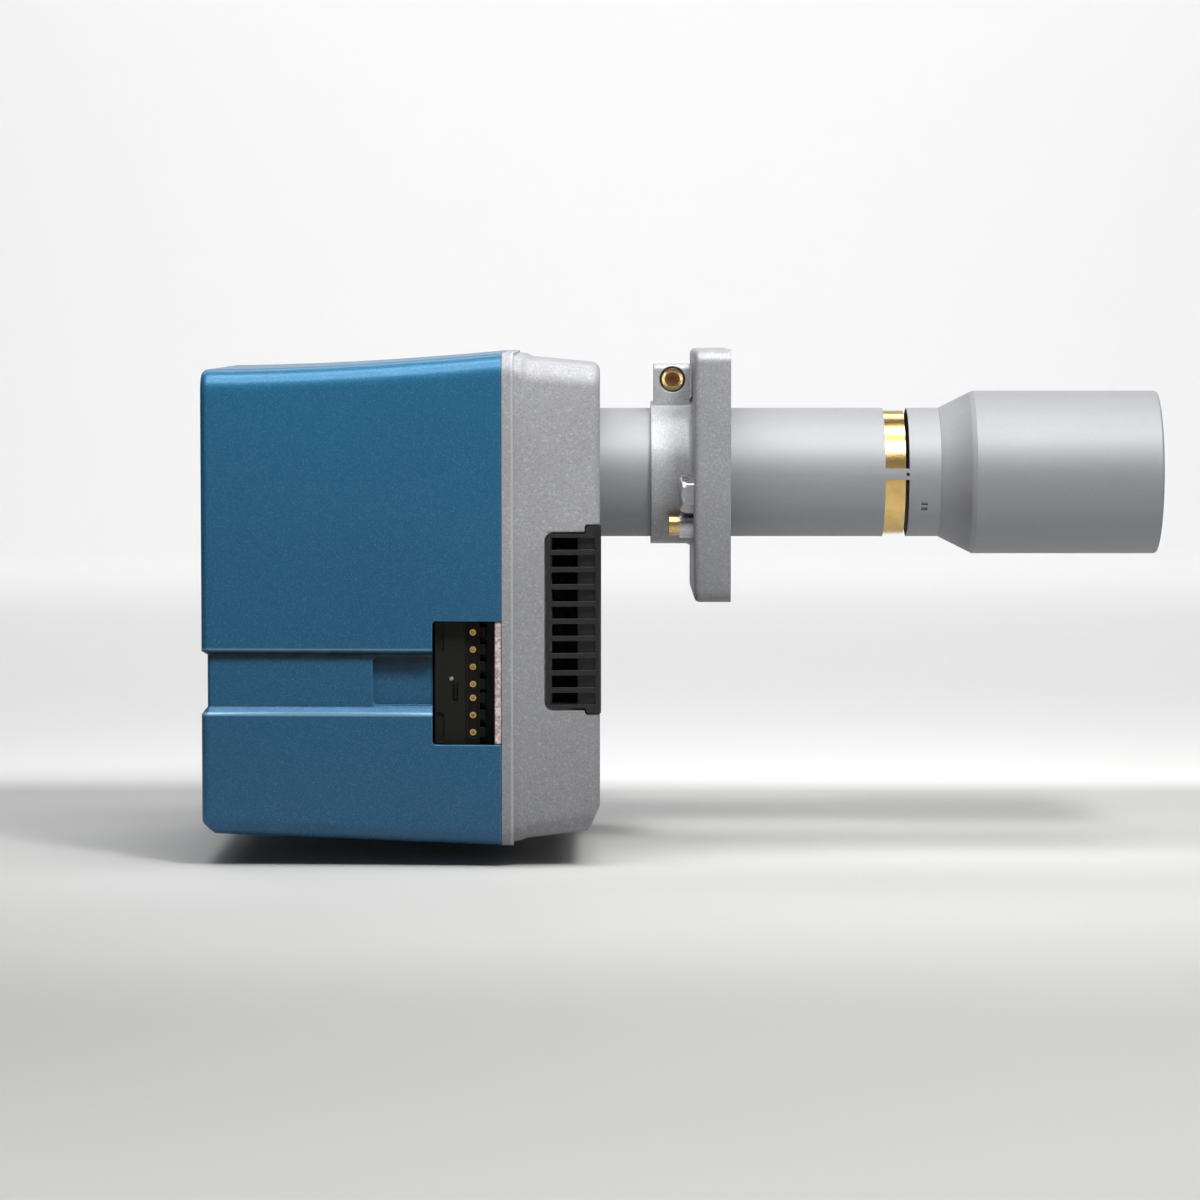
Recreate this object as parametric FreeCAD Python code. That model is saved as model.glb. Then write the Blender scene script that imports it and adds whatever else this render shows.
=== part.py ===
"""Oil burner for a heating boiler, as separate sub-parts, in millimetres.

X runs along the blast tube toward the flame, Z is up, and the origin is the centre of the
mounting flange's front face, on the tube's axis. Each sub-part is written to parts/NODE.step.
"""

import FreeCAD, Part
import math
import os

os.makedirs("parts", exist_ok=True)

# Clearances, named by what they part
running_fit = 0.05
loose_fit = 0.3
seam_gap = 0.3
screw_hole_clearance = 0.25

# Blast tube and flame tube
tube_diameter = 90.0
tube_wall = 1.5
tube_ahead_of_flange = 147.0
slot_to_tube_end = 38.8
slot_start = tube_ahead_of_flange - slot_to_tube_end
slot_width = 16.7
slot_web = 7.7
slot_count = 3
twin_slot_from_end = 13.5
twin_slot_length = 4.2
twin_slot_height = 2.6
cone_length = 24.3
flame_tube_diameter = 114.0
flame_tube_wall = 2.0
flame_tube_reach = 300.0
spigot_length = 13.0
web_hole = 2.2

# Mounting flange with its split clamp ring
flange_width = 173.0
flange_thickness = 25.0
flange_corner = 9.0
flange_edge = 4.0
bolt_circle = 150.0
bolt_hole = 9.0
ring_diameter = 100.0
ring_length = 29.0
ring_slit = 4.0
ring_root_radius = 5.0
lug_length = 25.0
lug_width = 36.0
lug_top = 76.0
clamp_screw_height = 65.3
clamp_screw_diameter = 10.0
clamp_head_diameter = 16.0
clamp_counterbore = 18.0
clamp_counterbore_depth = 10.5
clamp_nut_flats = 17.0
clamp_nut_height = 8.0
plug_flats = 24.0
plug_head = 10.0
plug_shank = 16.0
plug_side = 62.0
plug_height = -12.6
stop_side = 47.5
stop_height = -35.0
stop_collar_diameter = 17.6
stop_collar_length = 9.5
stop_head_diameter = 14.0
stop_head_height = 8.0
stop_shank = 8.0

# Housing casting, a box that narrows toward the flame
body_half_width = 145.0
body_top = 84.5
body_bottom = -248.0
parting_x = -155.6
rim_width = 7.7
housing_front_x = -89.5
housing_wall = 4.0
body_corner = 15.0
front_edge_radius = 7.0
front_drop_top = 8.9
front_drop_bottom = 10.4
front_drop_side = 6.0
chamfer_length = 7.8
chamfer_height = 17.2

# Rear cover
cover_wall = 3.0
cover_length = 202.7
rear_drop_top = 11.0
rear_drop_bottom = 7.4
rear_drop_side = 7.0
rear_edge_radius = 5.0
rear_chamfer_length = 8.4
rear_chamfer_height = 9.1
groove_top = -116.0
groove_bottom = -158.5
groove_depth = 4.0
groove_top_slope = 2.6
groove_bottom_slope = 4.8
grip_length = 40.4
grip_depth = 10.0
grip_margin = 0.8
grip_corner = 3.6
window_length = 46.7
window_top = -95.3
window_bottom = -178.8
far_groove_start = 20.0
strip_thickness = 4.7
hose_slot_length = 44.0
hose_slot_width = 50.0
hose_slot_side = 30.0

# Fan, scroll and intake
fan_side = 30.0
fan_height = -150.0
fan_diameter = 133.0
fan_width = 31.5
fan_blades = 32
blade_thickness = 1.0
blade_depth = 13.0
fan_plate = 1.5
scroll_clearance = 4.5
scroll_growth = 0.08
scroll_wall = 3.0
scroll_arcs = 4
tongue_angle = 60.0
tongue_step = 1.0
base_plate_thickness = 4.0
plenum_depth = 15.5
inlet_wall = 3.0
eye_diameter = 100.0
grille_top = -36.8
grille_bottom = -154.2
grille_length = 36.5
grille_wrap = 14.0
grille_proud = 0.8
grille_thickness = 3.6
grille_rib = 3.4
grille_pitch = 11.6
grille_slots = 10
grille_corner = 4.5
grille_gap = 0.8
grille_tab_length = 9.5
grille_tab_top = 5.6
grille_tab_bottom = 3.5
grille_frame = 3.0

# Places inside, each from the wall or rim that carries it
near_pillar_from_side = 60.0
near_pillar_from_top = 46.5
far_pillar_from_side = 45.0
far_pillar_from_bottom = 43.0
bracket_from_side = 9.0
control_length = 120.4
transformer_length = 82.4
transformer_side_gap = 17.0
transformer_clearance = 4.0

# Air damper
damper_from_side = 67.0
damper_side = -body_half_width + damper_from_side
damper_height = -95.0
damper_radius = 28.8
damper_shaft_diameter = 8.0
damper_plate = 1.5
knob_diameter = 28.0
knob_length = 15.0

# Motor, coupling and pump, in line behind the fan
motor_diameter = 94.0
motor_can_length = 78.0
motor_flange_diameter = 124.0
motor_flange_thickness = 10.0
motor_shaft_diameter = 12.0
bearing_diameter = 32.0
bearing_width = 10.0
lantern_length = 36.0
lantern_diameter = 56.0
pump_hub_diameter = 32.0
pump_shaft_diameter = 8.0
pump_length = 42.0
pump_width = 60.0
pump_tall = 58.0

# Nozzle assembly
service_opening = 104.0
service_cover_diameter = 124.0
service_cover_thickness = 5.0
rod_diameter = 16.0
preheater_diameter = 25.0
nozzle_flats = 16.0
brass_ring_start = slot_start - 20.2
brass_ring_front = slot_start + 14.1
brass_ring_wall = 1.6
mixing_disc_x = brass_ring_start + 2.0
mixing_hole_diameter = 30.0

# Places worked out from the sizes above
tube_r = tube_diameter / 2
bore_r = tube_r - tube_wall
rim_front_x = parting_x + rim_width
step_rear_x = rim_front_x + 5.4
step_front_x = step_rear_x + 4.0
plate_front_x = parting_x + base_plate_thickness
front_wall_x = housing_front_x - housing_wall
eye_front_x = front_wall_x - plenum_depth
eye_rear_x = eye_front_x - inlet_wall
cover_front_x = parting_x - seam_gap
cover_rear_x = parting_x - cover_length
ring_rear_x = -flange_thickness - ring_length
motor_front_x = parting_x - motor_flange_thickness
can_rear_x = motor_front_x - motor_can_length
lantern_start_x = can_rear_x - 12.0
lantern_rear_x = lantern_start_x - lantern_length
pump_front_x = lantern_rear_x
pump_rear_x = pump_front_x - pump_length
fan_rear_x = plate_front_x + 4.1
fan_front_x = fan_rear_x + fan_width

# Places and sizes that follow from those above
damper_bore_r = damper_shaft_diameter / 2 + running_fit
pocket_depth = 33.0
pocket_inner_y = -body_half_width + housing_wall + pocket_depth
duct_top = damper_height + damper_radius + 0.7
duct_bottom = damper_height - damper_radius - 0.7
pocket_rear_x = housing_front_x - grille_length
boss_radius = 6.5
boss_side = body_half_width - 17.5
boss_top = body_top - 17.5
boss_bottom = body_bottom + 19.0
boss_places = [
    (-boss_side, boss_top), (boss_side, boss_top), (-boss_side, boss_bottom), (boss_side, boss_bottom),
    (boss_side + 1.5, -105.0), (-boss_side - 1.5, -190.0),
]
tube_seat_circle = 103.0
tube_seat_angles = (45, 135, 225, 315)
plate_screw = 5.0
plate_screw_free_r = plate_screw / 2 + screw_hole_clearance
lug_front = -flange_thickness - 2
clamp_x = lug_front - lug_length / 2 + 0.5
pillar_places = [
    (near_pillar_from_side - body_half_width, body_top - near_pillar_from_top),
    (body_half_width - far_pillar_from_side, body_bottom + far_pillar_from_bottom),
]
pillar_radius = 6.0
cover_screw = 6.0
bracket_inner_y = -body_half_width + 43.5
fan_screw_r = 2.0
can_r = motor_diameter / 2
shaft_r = motor_shaft_diameter / 2
bearing_r = bearing_diameter / 2
motor_screw_circle = motor_flange_diameter - 12
capacitor_r = 14.0
coupling_length = 24.0
port_x = pump_front_x - 12
return_x = pump_front_x - 28
line_x = pump_front_x - 7.0
line_side = 10.0
line_r = 3.0
elbow_x = parting_x - 24.0
coil_x = pump_front_x - 24.0
coil_y = fan_side + 6.0
sensor_r = 6.0
sensor_y, sensor_z = 26.0, 24.0
sight_y, sight_z = -27.0, 25.0
preheater_start = -8.0
preheater_end = mixing_disc_x - 26.0
nozzle_tip = mixing_disc_x - 7.0
insulator_y = 9.5
insulator_z = 18.5
insulator_r = 4.0
disc_r = bore_r - 0.2 - brass_ring_wall
control_top = -62.0
control_bottom = -182.0
control_rear_x = parting_x - control_length
panel_front_x = parting_x - 5.2
socket_front_x = parting_x - 11.1
socket_rear_x = parting_x - 24.7
panel_rear_x = parting_x - 45.2
panel_y = -body_half_width + 10.4
unit_y = -body_half_width + 19.5
bridge_y = -body_half_width + 30.0
base_y = bracket_inner_y - 9.0
contact_x = parting_x - 19.6
contact_pitch = 11.65
contact_gap = 9.3
contact_top = -103.4
contact_r = 2.15
contact_hole = 1.3
contact_recess = 1.2
contact_recess_half = 3.9
coding_tooth = 6.8
hook_width = 5.5
hook_length = 20.0
hook_depth = 1.5
button_x = parting_x - 31.4
button_half = 1.4
button_top = -137.6
button_bottom = -148.8
lamp_x = parting_x - 34.1
lamp_z = -134.6
lamp_r = 1.5
transformer_y0 = service_cover_diameter / 2 + transformer_clearance
transformer_y1 = body_half_width - transformer_side_gap
transformer_z0 = -70.0
transformer_z1 = 36.0
transformer_rear_x = parting_x - transformer_length
transformer_foot = 3.0
outlet_places = (transformer_rear_x + 24, transformer_rear_x + 52)


def vec(x, y, z):
    return FreeCAD.Vector(x, y, z)


def box(x0, x1, y0, y1, z0, z1):
    return Part.makeBox(x1 - x0, y1 - y0, z1 - z0, vec(x0, y0, z0))


def rod_x(radius, x0, x1, y=0.0, z=0.0):
    """A round bar along X, from x0 to x1."""
    return Part.makeCylinder(radius, x1 - x0, vec(x0, y, z), vec(1, 0, 0))


def rod_y(radius, y0, y1, x, z):
    return Part.makeCylinder(radius, y1 - y0, vec(x, y0, z), vec(0, 1, 0))


def rod_z(radius, z0, z1, x, y):
    return Part.makeCylinder(radius, z1 - z0, vec(x, y, z0), vec(0, 0, 1))


def ring_x(outer, inner, x0, x1, y=0.0, z=0.0):
    return rod_x(outer, x0, x1, y, z).cut(rod_x(inner, x0 - 1, x1 + 1, y, z))


def turned(profile, y=0.0, z=0.0):
    """A turned part: the profile's points are (x, radius), spun about the line along X at y, z."""
    points = [vec(x, 0, r) for x, r in profile]
    face = Part.Face(Part.makePolygon(points + points[:1]))
    solid = face.revolve(vec(0, 0, 0), vec(1, 0, 0), 360)
    solid.translate(vec(0, y, z))
    return solid


def hexagon_x(flats, x0, x1, y=0.0, z=0.0, turn=0.0):
    """A hexagonal bar along X; with no turn, two of its flats face -Y and +Y."""
    radius = flats / math.sqrt(3)
    points = []
    for k in range(6):
        a = math.radians(30 + 60 * k + turn)
        points.append(vec(x0, y + radius * math.cos(a), z + radius * math.sin(a)))
    return Part.Face(Part.makePolygon(points + points[:1])).extrude(vec(x1 - x0, 0, 0))


def hex_socket_x(flats, x0, x1, y=0.0, z=0.0):
    return hexagon_x(flats, x0, x1, y, z, 30)


def fuse(shapes):
    first = shapes[0]
    if len(shapes) == 1:
        return first
    return first.multiFuse(shapes[1:]).removeSplitter()


def spun(shape, angle, y=0.0, z=0.0):
    """A copy of the shape, turned about the line along X at y, z."""
    copy = shape.copy()
    copy.rotate(vec(0, y, z), vec(1, 0, 0), angle)
    return copy


def on_circle(radius, angle, y=0.0, z=0.0):
    """The (y, z) point at an angle from +Y toward +Z on a circle about y, z."""
    a = math.radians(angle)
    return y + radius * math.cos(a), z + radius * math.sin(a)


def socket_screw_x(shank, x_seat, length, y, z, head_side):
    """A socket head cap screw along X: its head stands on x_seat, on the side head_side (-1 or 1)."""
    head = shank * 1.0
    radius = shank * 0.8
    x0, x1 = sorted((x_seat, x_seat + head_side * head))
    tip0, tip1 = sorted((x_seat, x_seat - head_side * length))
    recess0, recess1 = sorted((x_seat + head_side * head * 0.45, x_seat + head_side * (head + 1)))
    body = rod_x(radius, x0, x1, y, z).fuse(rod_x(shank / 2, tip0, tip1, y, z))
    return body.cut(hex_socket_x(shank * 0.8, recess0, recess1, y, z))


def export(name, solids):
    """Write one node; solids is one shape or a list of shapes that share it."""
    shapes = solids if isinstance(solids, list) else [solids]
    parts = []
    for shape in shapes:
        parts.extend(shape.Solids)
    shape = parts[0] if len(parts) == 1 else Part.makeCompound(parts)
    shape.exportStep("parts/" + name + ".step")
    print(name, len(parts), round(shape.Volume / 1000, 2), "cm3", "" if shape.isValid() else "NOT VALID")


def rounded_section(x, half, bottom, top, radius):
    """A rounded rectangle in the plane at x, as a closed wire."""
    k = radius * (1 - math.sqrt(0.5))
    y0, y1, z0, z1 = -half, half, bottom, top
    edges = [
        Part.LineSegment(vec(x, y0 + radius, z0), vec(x, y1 - radius, z0)).toShape(),
        Part.Arc(vec(x, y1 - radius, z0), vec(x, y1 - k, z0 + k), vec(x, y1, z0 + radius)).toShape(),
        Part.LineSegment(vec(x, y1, z0 + radius), vec(x, y1, z1 - radius)).toShape(),
        Part.Arc(vec(x, y1, z1 - radius), vec(x, y1 - k, z1 - k), vec(x, y1 - radius, z1)).toShape(),
        Part.LineSegment(vec(x, y1 - radius, z1), vec(x, y0 + radius, z1)).toShape(),
        Part.Arc(vec(x, y0 + radius, z1), vec(x, y0 + k, z1 - k), vec(x, y0, z1 - radius)).toShape(),
        Part.LineSegment(vec(x, y0, z1 - radius), vec(x, y0, z0 + radius)).toShape(),
        Part.Arc(vec(x, y0, z0 + radius), vec(x, y0 + k, z0 + k), vec(x, y0 + radius, z0)).toShape(),
    ]
    return Part.Wire(edges)


def edges_in_plane_x(shape, x):
    found = []
    for edge in shape.Edges:
        bounds = edge.BoundBox
        if abs(bounds.XMin - x) < 0.01 and abs(bounds.XMax - x) < 0.01:
            found.append(edge)
    return found


def slope_cutter(low, high, side, inset):
    """A wide prism whose one face runs through two points (x, z), moved into the body by inset."""
    near = -body_half_width - 5
    first = vec(low[0], near, low[1])
    last = vec(high[0], near, high[1])
    along = last.sub(first)
    normal = vec(along.z, 0, -along.x).normalize() * side
    first = first.sub(along * 3).sub(normal * inset)
    last = last.add(along * 3).sub(normal * inset)
    away = normal * 60
    face = Part.Face(Part.makePolygon([first, last, last.add(away), first.add(away), first]))
    return face.extrude(vec(0, 2 * body_half_width + 10, 0))


# Housing casting

def housing_block(inset):
    """The casting's outside, or the same form drawn in by inset all round but open at the parting plane."""
    front = housing_front_x - inset
    corner = body_corner - inset
    stations = [
        (rim_front_x, 1.5, 1.7, 2.2),
        (step_rear_x, 1.9, 2.2, 3.4),
        (step_front_x, 3.0, 4.3, 4.8),
        (front, front_drop_side, front_drop_top, front_drop_bottom),
    ]
    wires = []
    for x, side, top, bottom in stations:
        half = body_half_width - side - inset
        wires.append(rounded_section(x, half, body_bottom + bottom + inset, body_top - top - inset, corner))
    block = Part.makeLoft(wires, True, True)
    block = block.makeFillet(front_edge_radius - inset * 0.5, edges_in_plane_x(block, front))
    half = body_half_width - inset
    rim = Part.Face(rounded_section(parting_x, half, body_bottom + inset, body_top - inset, corner))
    block = block.fuse(rim.extrude(vec(rim_width, 0, 0)))
    low = (housing_front_x - chamfer_length, body_bottom + front_drop_bottom)
    high = (housing_front_x, low[1] + chamfer_height)
    return block.cut(slope_cutter(low, high, 1, inset))


outer_block = housing_block(0)
inner_block = housing_block(housing_wall)
housing_core = housing_block(housing_wall / 2)


def scroll_outline(extra, x):
    """The air duct's outline at x: the fan's spiral, straight sides, and an arc over the blast tube."""
    start_r = fan_diameter / 2 + scroll_clearance + extra
    sweep = tongue_angle + 180
    points = []
    for k in range(2 * scroll_arcs + 1):
        turn = sweep * k / (2 * scroll_arcs)
        y, z = on_circle(start_r + scroll_growth * turn, tongue_angle - turn, fan_side, fan_height)
        points.append(vec(x, y, z))
    edges = []
    for k in range(0, 2 * scroll_arcs, 2):
        edges.append(Part.Arc(points[k], points[k + 1], points[k + 2]).toShape())
    left = points[-1].y
    first_y = on_circle(start_r - extra, tongue_angle, fan_side, fan_height)[0]
    right = first_y - tongue_step + extra
    middle = (left + right) / 2
    radius = (right - left) / 2
    nose_z = points[0].z
    edges += [
        Part.LineSegment(points[-1], vec(x, left, 0)).toShape(),
        Part.Arc(vec(x, left, 0), vec(x, middle, radius), vec(x, right, 0)).toShape(),
        Part.LineSegment(vec(x, right, 0), vec(x, right, nose_z)).toShape(),
        Part.LineSegment(vec(x, right, nose_z), points[0]).toShape(),
    ]
    return Part.Face(Part.Wire(edges))


def make_housing():
    shell = outer_block.cut(inner_block)
    walls = [
        box(eye_rear_x, eye_front_x, -body_half_width, body_half_width, body_bottom, body_top),
        scroll_outline(scroll_wall, plate_front_x).extrude(vec(eye_rear_x - plate_front_x + 1, 0, 0)),
        box(pocket_rear_x - 3, front_wall_x, -body_half_width, pocket_inner_y + 3,
            grille_bottom - 4.5, grille_top + 4.5),
        box(eye_front_x, front_wall_x, pocket_inner_y, damper_side + 28, duct_bottom - 3, duct_top + 3),
        rod_x(59.0, eye_front_x, eye_front_x + 6),
        rod_x(tube_r + 4, front_wall_x - 3, front_wall_x + 1),
        rod_x(8.0, eye_rear_x - 4, eye_rear_x, damper_side, damper_height),
    ]
    for y, z in boss_places:
        walls.append(rod_x(boss_radius, plate_front_x, eye_rear_x, y, z))
    inside = fuse(walls).common(housing_core)
    casting = shell.fuse(inside).removeSplitter()
    tube_hole = tube_r + loose_fit
    cuts = [
        scroll_outline(0, plate_front_x - 1).extrude(vec(eye_rear_x - plate_front_x + 1, 0, 0)),
        box(pocket_rear_x, front_wall_x, pocket_inner_y - pocket_depth, pocket_inner_y,
            grille_bottom - 1.5, grille_top + 1.5),
        box(eye_front_x, front_wall_x, pocket_inner_y - 1, damper_side + 29, duct_bottom, duct_top),
        rod_x(tube_hole, eye_rear_x - 1, housing_front_x + 1),
        rod_x(eye_diameter / 2, eye_rear_x - 1, eye_front_x + 1, fan_side, fan_height),
        rod_x(damper_bore_r, eye_rear_x - 5, eye_front_x + 1, damper_side, damper_height),
        grille_region(grille_gap),
    ]
    for y, z in boss_places:
        cuts.append(rod_x(plate_screw / 2, plate_front_x - 1, plate_front_x + 16, y, z))
    for angle in tube_seat_angles:
        y, z = on_circle(tube_seat_circle / 2, angle)
        cuts.append(rod_x(plate_screw / 2, eye_rear_x - 1, eye_front_x + 5, y, z))
    for cutter in cuts:
        casting = casting.cut(cutter)
    pivot = rod_x(7.0, front_wall_x - 4, front_wall_x + 1, damper_side, damper_height)
    casting = casting.fuse(pivot)
    casting = casting.cut(rod_x(damper_bore_r, front_wall_x - 5, front_wall_x, damper_side, damper_height))
    return casting.removeSplitter()


# Intake grille, wrapped round the casting's near front corner

def grille_region(extra):
    """The space of the grille's outline, grown by extra: a block with rounded rear corners."""
    x0 = pocket_rear_x - extra
    z0 = grille_bottom - extra
    z1 = grille_top + extra
    y0 = -body_half_width - 10
    y1 = -body_half_width + front_drop_side + grille_wrap + extra
    block = box(x0, housing_front_x + 10, y0, y1, z0, z1)
    corners = []
    for edge in block.Edges:
        bounds = edge.BoundBox
        if bounds.YLength > 5 and bounds.XMax < x0 + 0.01:
            corners.append(edge)
    block = block.makeFillet(grille_corner + extra, corners)
    tab_x = housing_front_x - grille_tab_length - extra
    tabs = box(tab_x, housing_front_x + 10, y0, y1, z0 - grille_tab_bottom, z1 + grille_tab_top)
    corners = [e for e in tabs.Edges if e.BoundBox.YLength > 5 and e.BoundBox.XMax < tab_x + 0.01]
    return block.fuse(tabs.makeFillet(2.0, corners)).removeSplitter()


def make_grille():
    skin = housing_block(-grille_proud).cut(housing_block(grille_thickness - grille_proud))
    grille = skin.common(grille_region(0))
    slot_height = grille_pitch - grille_rib
    middle = (grille_top + grille_bottom) / 2
    for k in range(grille_slots):
        z = middle + (k - (grille_slots - 1) / 2) * grille_pitch
        near = -body_half_width - 10
        grille = grille.cut(box(pocket_rear_x + grille_frame, housing_front_x - grille_frame, near,
                                near + 18, z - slot_height / 2, z + slot_height / 2))
    return grille


# Blast tube with its recirculation slots

def slot_cutters():
    """Three slots round the tube, parted by webs; the first web faces -Y."""
    band = ring_x(tube_r + 5, bore_r - 5, slot_start, slot_start + slot_width)
    web = box(slot_start - 1, slot_start + slot_width + 1, -tube_r - 10, 0, -slot_web / 2, slot_web / 2)
    for k in range(slot_count):
        band = band.cut(spun(web, 360 / slot_count * k))
    return band


def make_blast_tube():
    tube = ring_x(tube_r, bore_r, eye_rear_x, tube_ahead_of_flange)
    collar = ring_x(57.0, bore_r, eye_rear_x - 3, eye_rear_x)
    tube = fuse([tube, collar])
    for angle in tube_seat_angles:
        y, z = on_circle(tube_seat_circle / 2, angle)
        tube = tube.cut(rod_x(plate_screw_free_r, eye_rear_x - 4, eye_rear_x + 1, y, z))
    tube = tube.cut(slot_cutters())
    hole = box(slot_start + slot_width - 2.2, slot_start + slot_width - 2.2 + web_hole, -tube_r - 2,
               -bore_r + 2, -web_hole / 2, web_hole / 2)
    tube = tube.cut(hole)
    x = tube_ahead_of_flange - twin_slot_from_end
    for k in range(slot_count):
        for side in (-1, 1):
            z = side * (twin_slot_height / 2 + 0.6)
            cutter = box(x, x + twin_slot_length, -tube_r - 2, -bore_r + 2,
                         z - twin_slot_height / 2, z + twin_slot_height / 2)
            tube = tube.cut(spun(cutter, 30 + 360 / slot_count * k))
    return tube


def make_flame_tube():
    """Cone and cylinder in one turned piece, with a spigot that enters the blast tube."""
    big = flame_tube_diameter / 2
    x0 = tube_ahead_of_flange
    x1 = x0 + cone_length
    end = flame_tube_reach
    spigot = bore_r - running_fit
    roll = 1.2
    return turned([
        (x0 - spigot_length, spigot), (x0 + 0.2, spigot), (x0 + 0.2, tube_r), (x1, big),
        (end - roll, big), (end, big - roll / 2), (end, big - flame_tube_wall),
        (x1 + 0.8, big - flame_tube_wall), (x0 + 1.0, spigot - tube_wall),
        (x0 - spigot_length, spigot - tube_wall),
    ])


# Flange

def make_flange():
    half = flange_width / 2
    plate = Part.Face(rounded_section(-flange_thickness, half, -half, half, flange_corner))
    plate = plate.extrude(vec(flange_thickness, 0, 0))
    plate = plate.makeFillet(flange_edge, edges_in_plane_x(plate, -flange_thickness))
    ring_r = ring_diameter / 2
    ring = rod_x(ring_r, ring_rear_x, -flange_thickness + 1)
    plate = plate.fuse(ring)
    roots = [e for e in edges_in_plane_x(plate, -flange_thickness) if abs(e.BoundBox.YMax - ring_r) < 0.01]
    plate = plate.makeFillet(ring_root_radius, roots)
    lug = box(lug_front - lug_length, lug_front, -lug_width / 2, lug_width / 2, 0, lug_top)
    tops = [e for e in lug.Edges if e.BoundBox.ZMin > lug_top - 0.01 and e.BoundBox.XLength > 5]
    lug = lug.makeFillet(4.0, tops)
    body = plate.fuse(lug)
    cuts = [
        rod_x(tube_r + running_fit, ring_rear_x - 1, 1),
        box(ring_rear_x - 1, -flange_thickness, -ring_slit / 2, ring_slit / 2, 0, lug_top + 1),
        rod_y(clamp_screw_diameter / 2 + loose_fit, -lug_width, lug_width, clamp_x, clamp_screw_height),
        rod_y(clamp_counterbore / 2, -lug_width, -lug_width / 2 + clamp_counterbore_depth, clamp_x,
              clamp_screw_height),
        rod_x(plug_shank / 2 + running_fit, -flange_thickness - 1, -5, -plug_side, plug_height),
        rod_x(stop_shank / 2 + running_fit, -flange_thickness - 1, -8, -stop_side, stop_height),
        rod_x(plug_flats / 2 + 2.3, -flange_thickness - 12, -flange_thickness, -plug_side, plug_height)
            .cut(rod_x(ring_r, -flange_thickness - 13, 0)),
        rod_x(stop_collar_diameter / 2 + loose_fit, -flange_thickness - 20, -flange_thickness, -stop_side,
              stop_height),
    ]
    for k in range(4):
        y, z = on_circle(bolt_circle / 2, 45 + 90 * k)
        cuts.append(rod_x(bolt_hole / 2, -flange_thickness - 1, 1, y, z))
    for cutter in cuts:
        body = body.cut(cutter)
    return body


def make_clamp_screw():
    seat = -lug_width / 2 + clamp_counterbore_depth
    head = rod_y(clamp_head_diameter / 2, seat - clamp_screw_diameter, seat, clamp_x, clamp_screw_height)
    rims = [e for e in head.Edges if e.BoundBox.YMax < seat - clamp_screw_diameter + 0.01]
    head = head.makeChamfer(0.8, rims)
    tip = lug_width / 2 + clamp_nut_height + 2
    screw = head.fuse(rod_y(clamp_screw_diameter / 2, seat - 1, tip, clamp_x, clamp_screw_height))
    socket = hexagon_x(8.0, 0, 5.5)
    socket.rotate(vec(0, 0, 0), vec(0, 0, 1), 90)
    socket.translate(vec(clamp_x, seat - clamp_screw_diameter - 0.5, clamp_screw_height))
    return screw.cut(socket).removeSplitter()


def make_clamp_nut():
    nut = hexagon_x(clamp_nut_flats, 0, clamp_nut_height)
    nut.rotate(vec(0, 0, 0), vec(0, 0, 1), 90)
    nut.translate(vec(clamp_x, lug_width / 2, clamp_screw_height))
    bore = clamp_screw_diameter / 2 + running_fit
    return nut.cut(rod_y(bore, 0, lug_width, clamp_x, clamp_screw_height))


def make_flange_plug():
    x = -flange_thickness
    head = hexagon_x(plug_flats, x - plug_head, x, -plug_side, plug_height)
    corner = plug_flats / 2 + 1.9
    crown = turned([(x - plug_head, 0), (x - plug_head, plug_flats / 2), (x - plug_head + 1.2, corner),
                    (x, corner), (x, 0)], -plug_side, plug_height)
    shank = rod_x(plug_shank / 2, x, -6, -plug_side, plug_height)
    return head.common(crown).fuse(shank).removeSplitter()


def make_stop_collar():
    x = -flange_thickness
    return ring_x(stop_collar_diameter / 2, stop_shank / 2 + running_fit, x - stop_collar_length, x,
                  -stop_side, stop_height)


def make_stop_screw():
    seat = -flange_thickness - stop_collar_length
    head = rod_x(stop_head_diameter / 2, seat - stop_head_height, seat, -stop_side, stop_height)
    head = head.makeChamfer(0.8, edges_in_plane_x(head, seat - stop_head_height))
    screw = head.fuse(rod_x(stop_shank / 2, seat, -9, -stop_side, stop_height))
    return screw.cut(hex_socket_x(6.0, seat - stop_head_height - 1, seat - 4, -stop_side, stop_height))


# Rear cover, one moulded shell

def cover_block(inset):
    """The cover's outside without its groove, or the same form drawn in by inset."""
    back = cover_rear_x + inset
    corner = body_corner - inset
    wires = []
    for share in (0.0, 0.36, 0.7, 1.0):
        ease = 1 - (1 - share) ** 1.7
        x = cover_front_x + (back - cover_front_x) * share
        half = body_half_width - rear_drop_side * ease - inset
        low = body_bottom + 0.2 + rear_drop_bottom * share + inset
        wires.append(rounded_section(x, half, low, body_top - rear_drop_top * ease - inset, corner))
    block = Part.makeLoft(wires, True, False)
    block = block.makeFillet(rear_edge_radius - inset * 0.8, edges_in_plane_x(block, back))
    low = (cover_rear_x + rear_chamfer_length, body_bottom + 0.2 + rear_drop_bottom)
    high = (cover_rear_x, low[1] + rear_chamfer_height)
    return block.cut(slope_cutter(low, high, -1, inset))


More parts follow.
